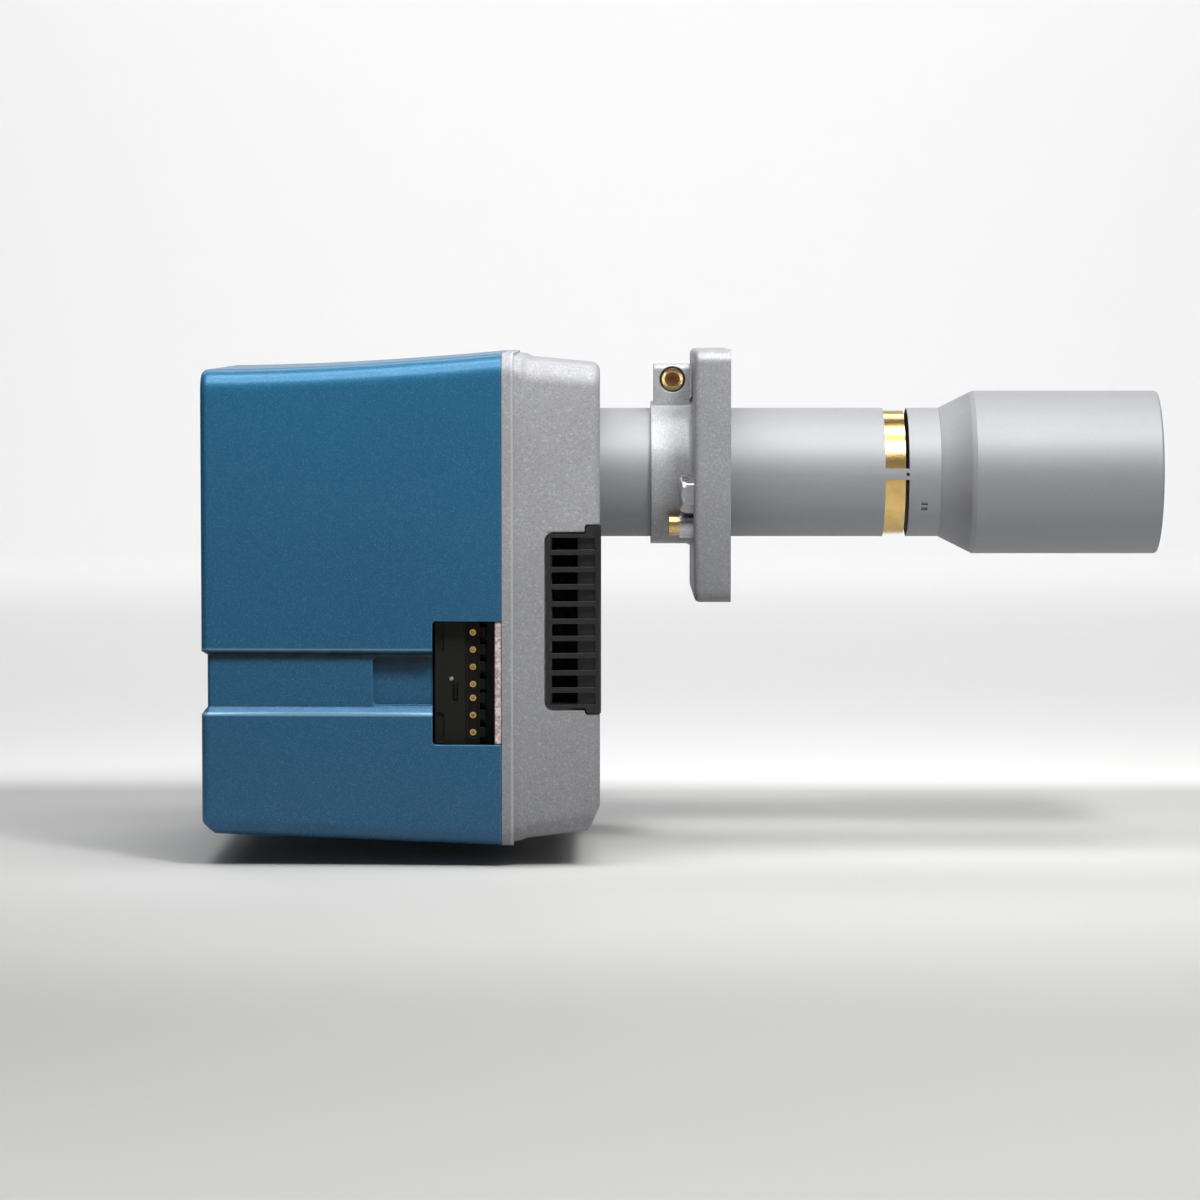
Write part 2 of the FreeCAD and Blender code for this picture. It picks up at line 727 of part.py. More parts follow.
def groove_section(z, inset):
    """The cover's outline at height z, drawn in by inset, with rounded rear corners."""
    half0 = body_half_width - inset
    half1 = body_half_width - rear_drop_side - inset
    back = cover_rear_x + inset
    front = cover_front_x + 30
    radius = max(rear_edge_radius - inset * 0.6, 2.0)
    k = radius * (1 - math.sqrt(0.5))
    edges = [
        Part.LineSegment(vec(front, -half0, z), vec(back + radius, -half1, z)).toShape(),
        Part.Arc(vec(back + radius, -half1, z), vec(back + k, -half1 + k, z),
                 vec(back, -half1 + radius, z)).toShape(),
        Part.LineSegment(vec(back, -half1 + radius, z), vec(back, half1 - radius, z)).toShape(),
        Part.Arc(vec(back, half1 - radius, z), vec(back + k, half1 - k, z),
                 vec(back + radius, half1, z)).toShape(),
        Part.LineSegment(vec(back + radius, half1, z), vec(front, half0, z)).toShape(),
        Part.LineSegment(vec(front, half0, z), vec(front, -half0, z)).toShape(),
    ]
    return Part.Wire(edges)


def wall_shift(slope, inset):
    """How far a groove wall of this slope moves along Z where the sheet is inset thick."""
    return inset * (math.hypot(slope, groove_depth) - slope) / groove_depth


def groove_cutter(inset):
    """What the groove takes away: a slab round the cover less a waisted core with sloping walls."""
    top = groove_top + wall_shift(groove_top_slope, inset)
    bottom = groove_bottom - wall_shift(groove_bottom_slope, inset)
    depth = groove_depth + inset
    lip = 2 * groove_depth
    wires = [
        groove_section(bottom - 2 * groove_bottom_slope, inset - lip),
        groove_section(bottom + groove_bottom_slope, depth),
        groove_section(top - groove_top_slope, depth),
        groove_section(top + 2 * groove_top_slope, inset - lip),
    ]
    core = Part.makeLoft(wires, True, True)
    far_end = cover_front_x - far_groove_start + inset
    slab = box(cover_rear_x - 20, far_end, -body_half_width - 20, body_half_width + 20, bottom, top)
    return slab.cut(core)


def grip_cutter(inset):
    """The deeper hollow between the groove and the window, for the fingers, with rounded rear corners."""
    spread = inset * 0.4
    x1 = parting_x - window_length + inset
    x0 = parting_x - window_length - grip_length - spread
    deep = -body_half_width + groove_depth + grip_depth + inset
    z0 = groove_bottom + groove_bottom_slope + grip_margin - spread
    z1 = groove_top - groove_top_slope - grip_margin + spread
    hollow = box(x0, x1, -body_half_width - 10, deep, z0, z1)
    corners = [e for e in hollow.Edges if e.BoundBox.YLength > grip_depth and e.BoundBox.XMax < x0 + 0.01]
    return hollow.makeFillet(grip_corner + spread, corners)


def make_cover():
    def form(inset):
        return cover_block(inset).cut(groove_cutter(inset)).cut(grip_cutter(inset))
    shell = form(0).cut(form(cover_wall))
    x0 = parting_x - window_length
    window = box(x0, parting_x + 1, -body_half_width - 5, -body_half_width + 30, window_bottom, window_top)
    corners = [e for e in window.Edges if e.BoundBox.YLength > 5 and e.BoundBox.XMax < x0 + 0.01]
    window = window.makeFillet(2.5, corners)
    hose_slot = box(parting_x - hose_slot_length, parting_x + 1, hose_slot_side - hose_slot_width / 2,
                    hose_slot_side + hose_slot_width / 2, body_bottom - 5, body_bottom + 20)
    shell = shell.cut(window).cut(hose_slot)
    for y, z in pillar_places:
        hole_r = cover_screw / 2 + loose_fit
        shell = shell.cut(rod_x(hole_r, cover_rear_x - 1, cover_rear_x + cover_wall + 1, y, z))
    return shell


def make_pillars():
    rear = cover_rear_x + cover_wall + 0.3
    pillars = []
    for y, z in pillar_places:
        pillar = hexagon_x(pillar_radius * 2, rear, parting_x, y, z)
        hole = rod_x(cover_screw / 2 + loose_fit, rear - 1, rear + 22, y, z)
        pillars.append(pillar.cut(hole))
    return pillars


def make_cover_screws():
    screws = []
    for y, z in pillar_places:
        head = turned([(cover_rear_x - 3.2, 0), (cover_rear_x - 3.2, 3.5), (cover_rear_x - 1.6, 5.5),
                       (cover_rear_x, 6.0), (cover_rear_x, 0)], y, z)
        shank = rod_x(cover_screw / 2, cover_rear_x, cover_rear_x + 18, y, z)
        screw = fuse([head, shank])
        screws.append(screw.cut(hex_socket_x(4.0, cover_rear_x - 4, cover_rear_x - 1, y, z)))
    return screws


def make_foam_strip():
    return box(parting_x - strip_thickness, parting_x, -body_half_width + 0.8, -body_half_width + 6.8,
               window_bottom + 0.5, window_top - 0.5)


# Base plate, which closes the casting and carries everything behind it


def make_base_plate():
    gap = 0.4
    inset = housing_wall + gap
    half = body_half_width - inset
    low = body_bottom + inset
    face = Part.Face(rounded_section(parting_x, half, low, body_top - inset, body_corner - inset))
    plate = face.extrude(vec(base_plate_thickness, 0, 0))
    cuts = [
        rod_x(service_opening / 2, parting_x - 1, plate_front_x + 1),
        rod_x(motor_flange_diameter / 2 - 22, parting_x - 1, plate_front_x + 1, fan_side, fan_height),
        rod_x(damper_bore_r, parting_x - 1, plate_front_x + 1, damper_side, damper_height),
    ]
    for y, z in boss_places:
        cuts.append(rod_x(plate_screw_free_r, parting_x - 1, plate_front_x + 1, y, z))
    for k in range(4):
        y, z = on_circle(motor_screw_circle / 2, 45 + 90 * k, fan_side, fan_height)
        cuts.append(rod_x(plate_screw / 2, parting_x - 1, plate_front_x + 1, y, z))
        y, z = on_circle((service_opening + service_cover_diameter) / 4, 45 + 90 * k)
        cuts.append(rod_x(plate_screw / 2, parting_x - 1, plate_front_x + 1, y, z))
    for cutter in cuts:
        plate = plate.cut(cutter)
    return plate


def make_base_screws():
    return [socket_screw_x(plate_screw, parting_x, 18, y, z, -1) for y, z in boss_places]


def make_tube_screws():
    screws = []
    for angle in tube_seat_angles:
        y, z = on_circle(tube_seat_circle / 2, angle)
        screws.append(socket_screw_x(plate_screw, eye_rear_x - 3, 10, y, z, -1))
    return screws


# Air inlet, damper and fan

def make_inlet_ring():
    """Bellmouth that leads the air into the fan's eye; its flange lies on the inlet wall."""
    eye = eye_diameter / 2
    lip = fan_front_x - 1.5
    ring = turned([
        (eye_rear_x, eye + 8), (eye_rear_x, eye - 1.0), (eye_rear_x - 1.0, eye - 3.0), (lip, eye - 4.5),
        (lip, eye - 3.0), (eye_rear_x - 1.6, eye - 0.8), (eye_rear_x - 1.6, eye + 8),
    ], fan_side, fan_height)
    return ring


def make_damper_shaft():
    radius = damper_shaft_diameter / 2
    shaft = rod_x(radius, parting_x - knob_length, front_wall_x - 0.5, damper_side, damper_height)
    half = box(eye_front_x + 0.8, front_wall_x - 4.5, damper_side, damper_side + radius + 1,
               damper_height - radius - 1, damper_height + radius + 1)
    return shaft.cut(half)


def make_damper_flap():
    """A plate on the shaft's flat, closed when it stands upright in the duct."""
    x0 = eye_front_x + 0.8
    x1 = front_wall_x - 0.6
    flap = box(x0, x1, damper_side, damper_side + damper_plate, damper_height - damper_radius,
               damper_height + damper_radius)
    notch = box(front_wall_x - 4.5, front_wall_x, damper_side - 1, damper_side + 5,
                damper_height - 7.8, damper_height + 7.8)
    return flap.cut(notch)


def make_damper_knob():
    x1 = parting_x - 1.0
    x0 = x1 - knob_length
    r = knob_diameter / 2
    knob = turned([
        (x0, 0), (x0, r - 2.5), (x0 + 2, r - 1.0), (x1 - 3, r - 0.4), (x1 - 3, r), (x1, r), (x1, 0),
    ], damper_side, damper_height)
    for k in range(12):
        y, z = on_circle(r + 1.4, 30 * k, damper_side, damper_height)
        knob = knob.cut(rod_x(3.0, x0 - 1, x1 - 3, y, z))
    pointer = box(x0 - 1, x0 + 0.8, damper_side - 0.8, damper_side + 0.8, damper_height, damper_height + r)
    knob = knob.cut(pointer)
    bore = rod_x(damper_shaft_diameter / 2, parting_x - knob_length, x1 + 1, damper_side, damper_height)
    return knob.cut(bore)


def fan_blade(inner, outer, x0, x1):
    """One forward-curved blade: a thin arc between the radii inner and outer, drawn along X."""
    bend = blade_depth * 0.30
    mid = (inner + outer) / 2
    t = blade_thickness
    y0, y1, y2 = 0.0, -bend, -0.2 * bend
    out = Part.Arc(vec(x0, y0, inner), vec(x0, y1, mid), vec(x0, y2 + 3.0, outer)).toShape()
    back = Part.Arc(vec(x0, y2 + 3.0 + t, outer), vec(x0, y1 + t, mid), vec(x0, y0 + t, inner)).toShape()
    edges = [
        out,
        Part.LineSegment(vec(x0, y2 + 3.0, outer), vec(x0, y2 + 3.0 + t, outer)).toShape(),
        back,
        Part.LineSegment(vec(x0, y0 + t, inner), vec(x0, y0, inner)).toShape(),
    ]
    blade = Part.Face(Part.Wire(edges)).extrude(vec(x1 - x0, 0, 0))
    blade.translate(vec(0, fan_side, fan_height))
    return blade


def make_fan():
    """Squirrel-cage fan wheel: back plate with hub, curved blades and a front shroud ring."""
    outer = fan_diameter / 2
    inner = outer - blade_depth
    x0 = fan_rear_x
    x1 = fan_front_x
    hub_r = motor_shaft_diameter / 2 + 7
    plate = turned([
        (x0, motor_shaft_diameter / 2), (x0 + 16, motor_shaft_diameter / 2), (x0 + 16, hub_r),
        (x0 + fan_plate + 6, hub_r), (x0 + fan_plate, hub_r + 14), (x0 + fan_plate, outer), (x0, outer),
    ], fan_side, fan_height)
    shroud = turned([
        (x1 - 1.5, inner - 1.5), (x1, inner - 1.5), (x1, outer), (x1 - 4.0, outer), (x1 - 4.0, outer - 1.0),
        (x1 - 1.5, outer - 1.0),
    ], fan_side, fan_height)
    solids = [plate, shroud]
    blade = fan_blade(inner, outer - 0.9, x0 + fan_plate - 0.3, x1 - 1.2)
    for k in range(fan_blades):
        solids.append(spun(blade, 360 / fan_blades * k, fan_side, fan_height))
    wheel = solids[0].multiFuse(solids[1:])
    return wheel.cut(rod_z(fan_screw_r, fan_height, fan_height + hub_r + 1, fan_rear_x + 12, fan_side))


def make_fan_screw():
    """Grub screw in the fan's hub."""
    base = fan_height + motor_shaft_diameter / 2
    return rod_z(fan_screw_r, base + 0.02, base + 6.5, fan_rear_x + 12, fan_side)


# Motor


def make_motor_front_shield():
    spigot = motor_flange_diameter / 2 - 22 - running_fit
    shield = turned([
        (motor_front_x - 12, bearing_r), (motor_front_x, bearing_r), (motor_front_x, shaft_r + 2),
        (plate_front_x, shaft_r + 2), (plate_front_x, spigot), (parting_x, spigot),
        (parting_x, motor_flange_diameter / 2), (motor_front_x, motor_flange_diameter / 2),
        (motor_front_x, can_r - 2.2), (motor_front_x - 6, can_r - 2.2), (motor_front_x - 6, can_r - 5),
        (motor_front_x - 1, can_r - 5), (motor_front_x - 1, bearing_r + 4),
        (motor_front_x - 12, bearing_r + 4),
    ], fan_side, fan_height)
    for k in range(4):
        y, z = on_circle(motor_screw_circle / 2, 45 + 90 * k, fan_side, fan_height)
        shield = shield.cut(rod_x(plate_screw_free_r, motor_front_x - 1, parting_x + 1, y, z))
    return shield


def make_motor_screws():
    screws = []
    for k in range(4):
        y, z = on_circle(motor_screw_circle / 2, 45 + 90 * k, fan_side, fan_height)
        screws.append(socket_screw_x(plate_screw, motor_front_x, motor_flange_thickness + 3.5, y, z, -1))
    return screws


def make_motor_can():
    can = ring_x(can_r, can_r - 2, can_rear_x, motor_front_x, fan_side, fan_height)
    cradle = box(can_rear_x + 14, motor_front_x - 18, fan_side + can_r - 3, fan_side + can_r + 9,
                 fan_height - 9, fan_height + 9)
    y = fan_side + can_r + capacitor_r + 2
    cradle = cradle.cut(rod_x(capacitor_r, can_rear_x, motor_front_x, y, fan_height))
    cradle = cradle.cut(rod_x(can_r - 1, can_rear_x, motor_front_x, fan_side, fan_height))
    return can.fuse(cradle)


def make_capacitor():
    y = fan_side + can_r + capacitor_r + 2
    x0 = can_rear_x + 8
    x1 = motor_front_x - 10
    r = capacitor_r
    return turned([
        (x0, 0), (x0, 5), (x0 + 2, 5), (x0 + 2, r - 1.5), (x0 + 3.5, r), (x1 - 2, r), (x1, r - 2), (x1, 0),
    ], y, fan_height)


def make_motor_rear_shield():
    """End bell with the lantern that centres the pump."""
    lr = lantern_diameter / 2
    hub = pump_hub_diameter / 2 + running_fit
    x0 = lantern_rear_x
    x1 = lantern_start_x
    bell = turned([
        (can_rear_x + 6, can_r - 2.2), (can_rear_x, can_r - 2.2), (can_rear_x, can_r),
        (can_rear_x - 6, can_r - 1), (x1, lr + 6), (x1, lr), (x0, lr), (x0, hub), (x0 + 7, hub),
        (x0 + 7, lr - 4),
        (x1, lr - 4), (x1, shaft_r + 2), (x1 + 1.9, shaft_r + 2), (x1 + 1.9, bearing_r), (x1 + 12, bearing_r),
        (x1 + 12, bearing_r + 4), (can_rear_x + 1, can_r - 12), (can_rear_x + 6, can_r - 5),
    ], fan_side, fan_height)
    window = box(lantern_rear_x + 10, lantern_start_x - 4, fan_side - 11, fan_side + 11,
                 fan_height, fan_height + lr + 5)
    for k in range(3):
        bell = bell.cut(spun(window, 120 * k, fan_side, fan_height))
    return bell


def make_bearings():
    def bearing(x0):
        x1 = x0 + bearing_width
        outer = ring_x(bearing_r - 0.02, bearing_r - 3.5, x0, x1, fan_side, fan_height)
        return outer
    return [bearing(motor_front_x - 11), bearing(lantern_start_x + 1.95)]


def make_bearing_inners():
    """Inner races with their shields; they turn with the shaft."""
    def race(x0):
        x1 = x0 + bearing_width
        return ring_x(bearing_r - 3.8, shaft_r, x0, x1, fan_side, fan_height)
    return [race(motor_front_x - 11), race(lantern_start_x + 1.95)]


def make_stator():
    """Laminated ring with its slots, and the windings' two end turns."""
    x0 = can_rear_x + 16
    x1 = motor_front_x - 16
    pack = ring_x(can_r - 2.05, 27, x0, x1, fan_side, fan_height)
    slot = box(x0 - 1, x1 + 1, fan_side - 3, fan_side + 3, fan_height + 25, fan_height + 38)
    for k in range(12):
        pack = pack.cut(spun(slot, 30 * k, fan_side, fan_height))
    ends = []
    for a, b in ((x0 - 8, x0), (x1, x1 + 8)):
        ends.append(ring_x(39, 30, a, b, fan_side, fan_height))
    return [pack, ends[0], ends[1]]


def make_rotor():
    x0 = can_rear_x + 16
    x1 = motor_front_x - 16
    tail = lantern_start_x - 14
    nose = fan_rear_x + 18
    step = shaft_r + 1.5
    profile = [
        (tail, 0), (tail, shaft_r - 0.4), (tail + 0.4, shaft_r), (lantern_start_x + 12.2, shaft_r),
        (lantern_start_x + 12.2, step), (x0, step), (x0, 26.6), (x1, 26.6), (x1, step),
        (motor_front_x - 11.4, step), (motor_front_x - 11.4, shaft_r), (nose - 0.4, shaft_r),
        (nose, shaft_r - 0.4), (nose, 0),
    ]
    return turned(profile, fan_side, fan_height)


# Coupling and pump


def make_coupling():
    x1 = lantern_start_x - 3
    x0 = x1 - coupling_length
    sleeve = ring_x(11.0, shaft_r, x1 - 11, x1, fan_side, fan_height)
    spider = ring_x(11.0, pump_shaft_diameter / 2, x0, x1 - 11, fan_side, fan_height)
    coupling = fuse([sleeve, spider])
    for k in range(6):
        y, z = on_circle(12.5, 60 * k, fan_side, fan_height)
        coupling = coupling.cut(rod_x(3.0, x0 + 3, x1 - 3, y, z))
    return coupling


def make_pump_shaft():
    x0 = pump_front_x - 6
    x1 = lantern_start_x - 3 - 13
    return rod_x(pump_shaft_diameter / 2, x0, x1, fan_side, fan_height)


def pump_section(x, grow):
    half = pump_width / 2 + grow
    wire = rounded_section(x, half, -pump_tall / 2 - grow, pump_tall / 2 + grow, 12 + grow)
    wire.translate(vec(0, fan_side, fan_height))
    return wire


def make_pump_body():
    body = Part.Face(pump_section(pump_rear_x, -2)).extrude(vec(pump_length, 0, 0))
    flange = Part.Face(pump_section(pump_front_x - 9, 0)).extrude(vec(9, 0, 0))
    waist = Part.Face(pump_section(pump_rear_x, 0)).extrude(vec(6, 0, 0))
    hub = rod_x(pump_hub_diameter / 2, pump_front_x, pump_front_x + 6, fan_side, fan_height)
    low = fan_height - pump_tall / 2
    high = fan_height + pump_tall / 2
    bosses = [
        rod_z(8.0, low - 3, low + 6, port_x, fan_side - 14),
        rod_z(8.0, low - 3, low + 6, return_x, fan_side + 14),
        rod_z(6.5, high - 6, high + 2, line_x, line_side),
        rod_y(6.0, fan_side + pump_width / 2 - 6, fan_side + pump_width / 2 + 2, port_x, fan_height + 6),
    ]
    body = fuse([body, flange, waist, hub] + bosses)
    bore_radius = pump_shaft_diameter / 2 + running_fit
    bore = rod_x(bore_radius, pump_front_x - 6.5, pump_front_x + 7, fan_side, fan_height)
    body = body.cut(bore)
    body = body.cut(rod_z(4.0, low - 4, low + 10, port_x, fan_side - 14))
    body = body.cut(rod_z(4.0, low - 4, low + 10, return_x, fan_side + 14))
    return body.cut(rod_z(3.0, high - 4, high + 3, line_x, line_side))


def make_pump_cover():
    cover = Part.Face(pump_section(pump_rear_x - 5, -1)).extrude(vec(5, 0, 0))
    screws = []
    for k in range(4):
        y, z = on_circle(32.0, 45 + 90 * k, fan_side, fan_height)
        screws.append(rod_x(3.6, pump_rear_x - 8, pump_rear_x - 5, y, z))
    dome = rod_x(15.0, pump_rear_x - 7, pump_rear_x - 5, fan_side, fan_height)
    return cover.fuse(dome), screws


def make_port_fittings():
    """Hose nipples in the suction and return ports, and the plug of the gauge port."""
    low = fan_height - pump_tall / 2 - 3
    fittings = []
    for x, y in ((port_x, fan_side - 14), (return_x, fan_side + 14)):
        nut = hexagon_x(15.0, 0, 8)
        nut.rotate(vec(0, 0, 0), vec(0, 1, 0), 90)
        nut.translate(vec(x, y, low))
        nipple = rod_z(4.0, low - 20, low + 12, x, y)
        barb = rod_z(4.6, low - 18, low - 15, x, y).fuse(rod_z(4.6, low - 13, low - 11, x, y))
        fitting = fuse([nut, nipple, barb])
        fittings.append(fitting.cut(rod_z(2.6, low - 21, low + 8, x, y)))
    side = fan_side + pump_width / 2 + 2
    plug = rod_y(4.0, side, side + 5, port_x, fan_height + 6)
    fittings.append(plug)
    return fittings


def make_valve_stem():
    base = fan_height + pump_tall / 2
    stem = rod_z(6.5, base - 0.02, base + 38, coil_x, coil_y)
    nut = hexagon_x(14.0, 0, 5)
    nut.rotate(vec(0, 0, 0), vec(0, 1, 0), -90)
    nut.translate(vec(coil_x, coil_y, base + 36.5))
    return fuse([stem, nut])


def make_valve_coil():
    base = fan_height + pump_tall / 2
    coil = box(coil_x - 14, coil_x + 14, coil_y - 16, coil_y + 16, base, base + 34.5)
    sides = [e for e in coil.Edges if e.BoundBox.ZLength > 5]
    coil = coil.makeFillet(3.0, sides)
    socket = box(coil_x - 9, coil_x + 9, coil_y + 15, coil_y + 24, base + 6, base + 28)
    coil = fuse([coil, socket])
    return coil.cut(rod_z(6.55, base - 1, base + 36, coil_x, coil_y))


def bent_path(points, radius):
    """Straight runs joined by tangent arcs of one radius, as one wire."""
    edges = []
    start = points[0]
    for before, corner, after in zip(points, points[1:], points[2:]):
        into = corner.sub(before).normalize()
        out = after.sub(corner).normalize()
        turn = into.getAngle(out)
        back = radius * math.tan(turn / 2)
        a = corner.sub(into * back)
        b = corner.add(out * back)
        bisector = out.sub(into).normalize()
        middle = corner.add(bisector * (radius / math.cos(turn / 2) - radius))
        edges.append(Part.LineSegment(start, a).toShape())
        edges.append(Part.Arc(a, middle, b).toShape())
        start = b
    edges.append(Part.LineSegment(start, points[-1]).toShape())
    return Part.Wire(edges)


def make_oil_line():
    """Steel pipe from the pump's outlet up to the nozzle rod's rear end."""
    top = fan_height + pump_tall / 2 + 2
    points = [
        vec(line_x, line_side, top + 0.02), vec(line_x, line_side, -26),
        vec(line_x + 30, 0, 0), vec(elbow_x - 6, 0, 0),
    ]
    path = bent_path(points, 18.0)
    circle = Part.Wire(Part.makeCircle(line_r, points[0], vec(0, 0, 1)))
    return path.makePipeShell([circle], True, True)


def make_line_nuts():
    top = fan_height + pump_tall / 2 + 2
    low = hexagon_x(12.0, 0, 9)
    low.rotate(vec(0, 0, 0), vec(0, 1, 0), -90)
    low.translate(vec(line_x, line_side, top))
    low = low.cut(rod_z(line_r + running_fit, top - 1, top + 10, line_x, line_side))
    high = hexagon_x(14.0, elbow_x - 12, elbow_x)
    high = high.cut(rod_x(line_r + running_fit, elbow_x - 13, elbow_x - 5.9))
    return [low, high]


# Nozzle assembly

def make_service_cover():
    """Round cover over the base plate's opening; its hub clamps the nozzle rod."""
    x1 = parting_x
    x0 = x1 - service_cover_thickness
    cover = turned([
        (x0 - 12, rod_diameter / 2 + 0.1), (x1, rod_diameter / 2 + 0.1), (x1, service_cover_diameter / 2),
        (x0 + 1, service_cover_diameter / 2), (x0, service_cover_diameter / 2 - 1), (x0, 18), (x0 - 12, 15),
    ])
    for angle in tube_seat_angles:
        y, z = on_circle((service_opening + service_cover_diameter) / 4, angle)
        cover = cover.cut(rod_x(plate_screw_free_r, x0 - 1, x1 + 1, y, z))
    cover = cover.cut(rod_x(sensor_r + 0.05, x0 - 1, x1 + 1, sensor_y, sensor_z))
    cover = cover.cut(rod_x(8.0, x0 - 1, x1 - 1.5, sight_y, sight_z))
    return cover.cut(rod_x(6.0, x1 - 2, x1 + 1, sight_y, sight_z))


def make_service_screws():
    screws = []
    for angle in tube_seat_angles:
        y, z = on_circle((service_opening + service_cover_diameter) / 4, angle)
        screws.append(socket_screw_x(plate_screw, parting_x - service_cover_thickness, 9, y, z, -1))
    return screws


def make_flame_sensor():
    x1 = parting_x + 6
    seat_x = parting_x - service_cover_thickness
    return turned([
        (x1 - 34, 0), (x1 - 34, 4), (x1 - 30, 4), (x1 - 30, sensor_r + 2), (seat_x, sensor_r + 2),
        (seat_x, sensor_r), (x1 - 1, sensor_r), (x1, sensor_r - 1), (x1, 0),
    ], sensor_y, sensor_z)


def make_sight_glass():
    x0 = parting_x - service_cover_thickness
    return rod_x(7.9, x0 + 0.2, x0 + 3.5, sight_y, sight_z)


def make_nozzle_rod():
    r = rod_diameter / 2
    rear = elbow_x
    rod = rod_x(r, rear, preheater_start)
    rod = rod.cut(rod_x(2.5, rear - 1, preheater_start + 1))
    return rod


def make_preheater():
    r = preheater_diameter / 2
    a, b = preheater_start, preheater_end
    return turned([
        (a, 0), (a, r - 2.5), (a + 8, r - 2.5), (a + 9, r), (b - 9, r), (b - 8, r - 2), (b, r - 2), (b, 0),
    ])


def make_nozzle():
    a = preheater_end
    body = hexagon_x(nozzle_flats, a, a + 9)
    nose = turned([(a + 9, 0), (a + 9, 6.5), (a + 14, 6.5), (nozzle_tip - 1, 2.0), (nozzle_tip - 1, 1.2),
                   (nozzle_tip, 1.0), (nozzle_tip, 0)])
    return fuse([body, nose])


def make_insulators():
    pieces = []
    tip = preheater_end - 2
    for side in (-1, 1):
        body = turned([
            (-22, 1.1), (tip, 1.1), (tip, 2.6), (tip - 4, insulator_r - 0.5), (tip - 18, insulator_r - 0.5),
            (tip - 19, insulator_r), (-18, insulator_r), (-22, 2.8),
        ], side * insulator_y, insulator_z)
        pieces.append(body)
    return pieces


def make_electrodes():
    """Wires that leave the insulators and bend down to spark ahead of the nozzle."""
    pieces = []
    for side in (-1, 1):
        y = side * insulator_y
        spark = vec(mixing_disc_x - 4.5, side * 2.2, 8.5)
        points = [vec(-30, y, insulator_z), vec(preheater_end + 4, y, insulator_z), spark]
        wire = bent_path(points, 6.0)
        circle = Part.Wire(Part.makeCircle(1.0, points[0], vec(1, 0, 0)))
        rod = wire.makePipeShell([circle], True, True)
        tip = rod_x(2.2, -34, -30, y, insulator_z)
        pieces.append(rod.fuse(tip))
    return pieces


def make_electrode_clamp():
    r = preheater_diameter / 2
    x0, x1 = 18.0, 26.0
    ring = ring_x(r + 2.5, r, x0, x1)
    saddle = box(x0, x1, -insulator_y - 6, insulator_y + 6, r, insulator_z + 6)
    clamp = fuse([ring, saddle]).cut(rod_x(r, x0 - 1, x1 + 1))
    for side in (-1, 1):
        clamp = clamp.cut(rod_x(insulator_r, x0 - 1, x1 + 1, side * insulator_y, insulator_z))
    return clamp.cut(box(x0 - 1, x1 + 1, -1, 1, r - 1, insulator_z + 7))


def make_mixing_disc():
    """Baffle with a central hole and swirl slots."""
    disc = ring_x(disc_r, mixing_hole_diameter / 2, mixing_disc_x, mixing_disc_x + 1.5)
    slot = box(mixing_disc_x - 1, mixing_disc_x + 3, -1.2, 1.2, mixing_hole_diameter / 2 + 4, disc_r - 8)
    slot = spun(slot, 18, 0, (mixing_hole_diameter / 2 + disc_r) / 2)
    for k in range(8):
        disc = disc.cut(spun(slot, 45 * k + 22.5))
    return disc


def make_disc_holder():
    """Hub on the preheater's nose, with three cranked arms that carry the baffle."""
    hub_r = preheater_diameter / 2 - 2
    x0 = preheater_end - 6
    arms = [ring_x(hub_r + 3, hub_r, x0, preheater_end)]
    arm_r = 22.0
    for angle in (0, 90, 180):
        radial = box(x0 + 2, x0 + 4, -3, 3, -arm_r - 2, -hub_r - 1)
        axial = box(x0 + 2, mixing_disc_x, -3, 3, -arm_r - 2, -arm_r)
        arms.append(spun(fuse([radial, axial]), angle - 90))
    return fuse(arms)


def make_brass_ring():
    outer = bore_r - 0.2
    inner = outer - brass_ring_wall
    return turned([
        (brass_ring_start, inner), (brass_ring_start, outer - 0.5), (brass_ring_start + 0.5, outer),
        (brass_ring_front, outer), (brass_ring_front, inner),
    ])


# Electrical pieces


def make_control_bracket():
    sheet = 1.5
    z0 = control_bottom + 4
    z1 = control_top - 4
    web = box(control_rear_x + 6, parting_x, bracket_inner_y, bracket_inner_y + sheet, z0, z1)
    outer_y = -body_half_width + bracket_from_side
    foot = box(parting_x - sheet, parting_x, outer_y, bracket_inner_y + 1, z0, z1)
    return fuse([web, foot])


def make_control_base():
    """Wiring base that the control clips on, with the step that carries the plug socket."""
    base = box(control_rear_x, panel_front_x, base_y, bracket_inner_y, control_bottom, control_top)
    return base.makeFillet(2.0, [e for e in base.Edges if e.BoundBox.YLength > 5])


def make_control():
    """Control unit with the panel that fills the window's left half; two hook pockets in its corners."""
    unit = box(control_rear_x + 1, panel_rear_x - 1.5, unit_y, base_y, control_bottom + 1, control_top - 1)
    unit = unit.makeFillet(4.0, [e for e in unit.Edges if e.BoundBox.YMax < unit_y + 0.5])
    panel = box(panel_rear_x, socket_rear_x - 0.2, panel_y, base_y, window_bottom - 1, window_top + 1)
    bridge = box(panel_rear_x - 3, panel_rear_x + 3, bridge_y, base_y, control_bottom + 6, control_top - 6)
    body = fuse([unit, panel, bridge])
    cuts = [
        box(button_x - button_half - loose_fit, button_x + button_half + loose_fit, panel_y - 1, panel_y + 14,
            button_bottom - loose_fit, button_top + loose_fit),
        rod_y(lamp_r + 0.02, panel_y - 1, panel_y + 8, lamp_x, lamp_z),
    ]
    for z0 in (window_bottom + 1.5, window_top - 1.5 - hook_length):
        hook = box(panel_rear_x + 0.8, panel_rear_x + 0.8 + hook_width, panel_y - 1, panel_y + hook_depth,
                   z0, z0 + hook_length)
        ends = [e for e in hook.Edges if e.BoundBox.YLength > 2 and e.BoundBox.XMin > panel_rear_x + 2]
        cuts.append(hook.makeFillet(hook_width / 2, ends))
    for cutter in cuts:
        body = body.cut(cutter)
    return body


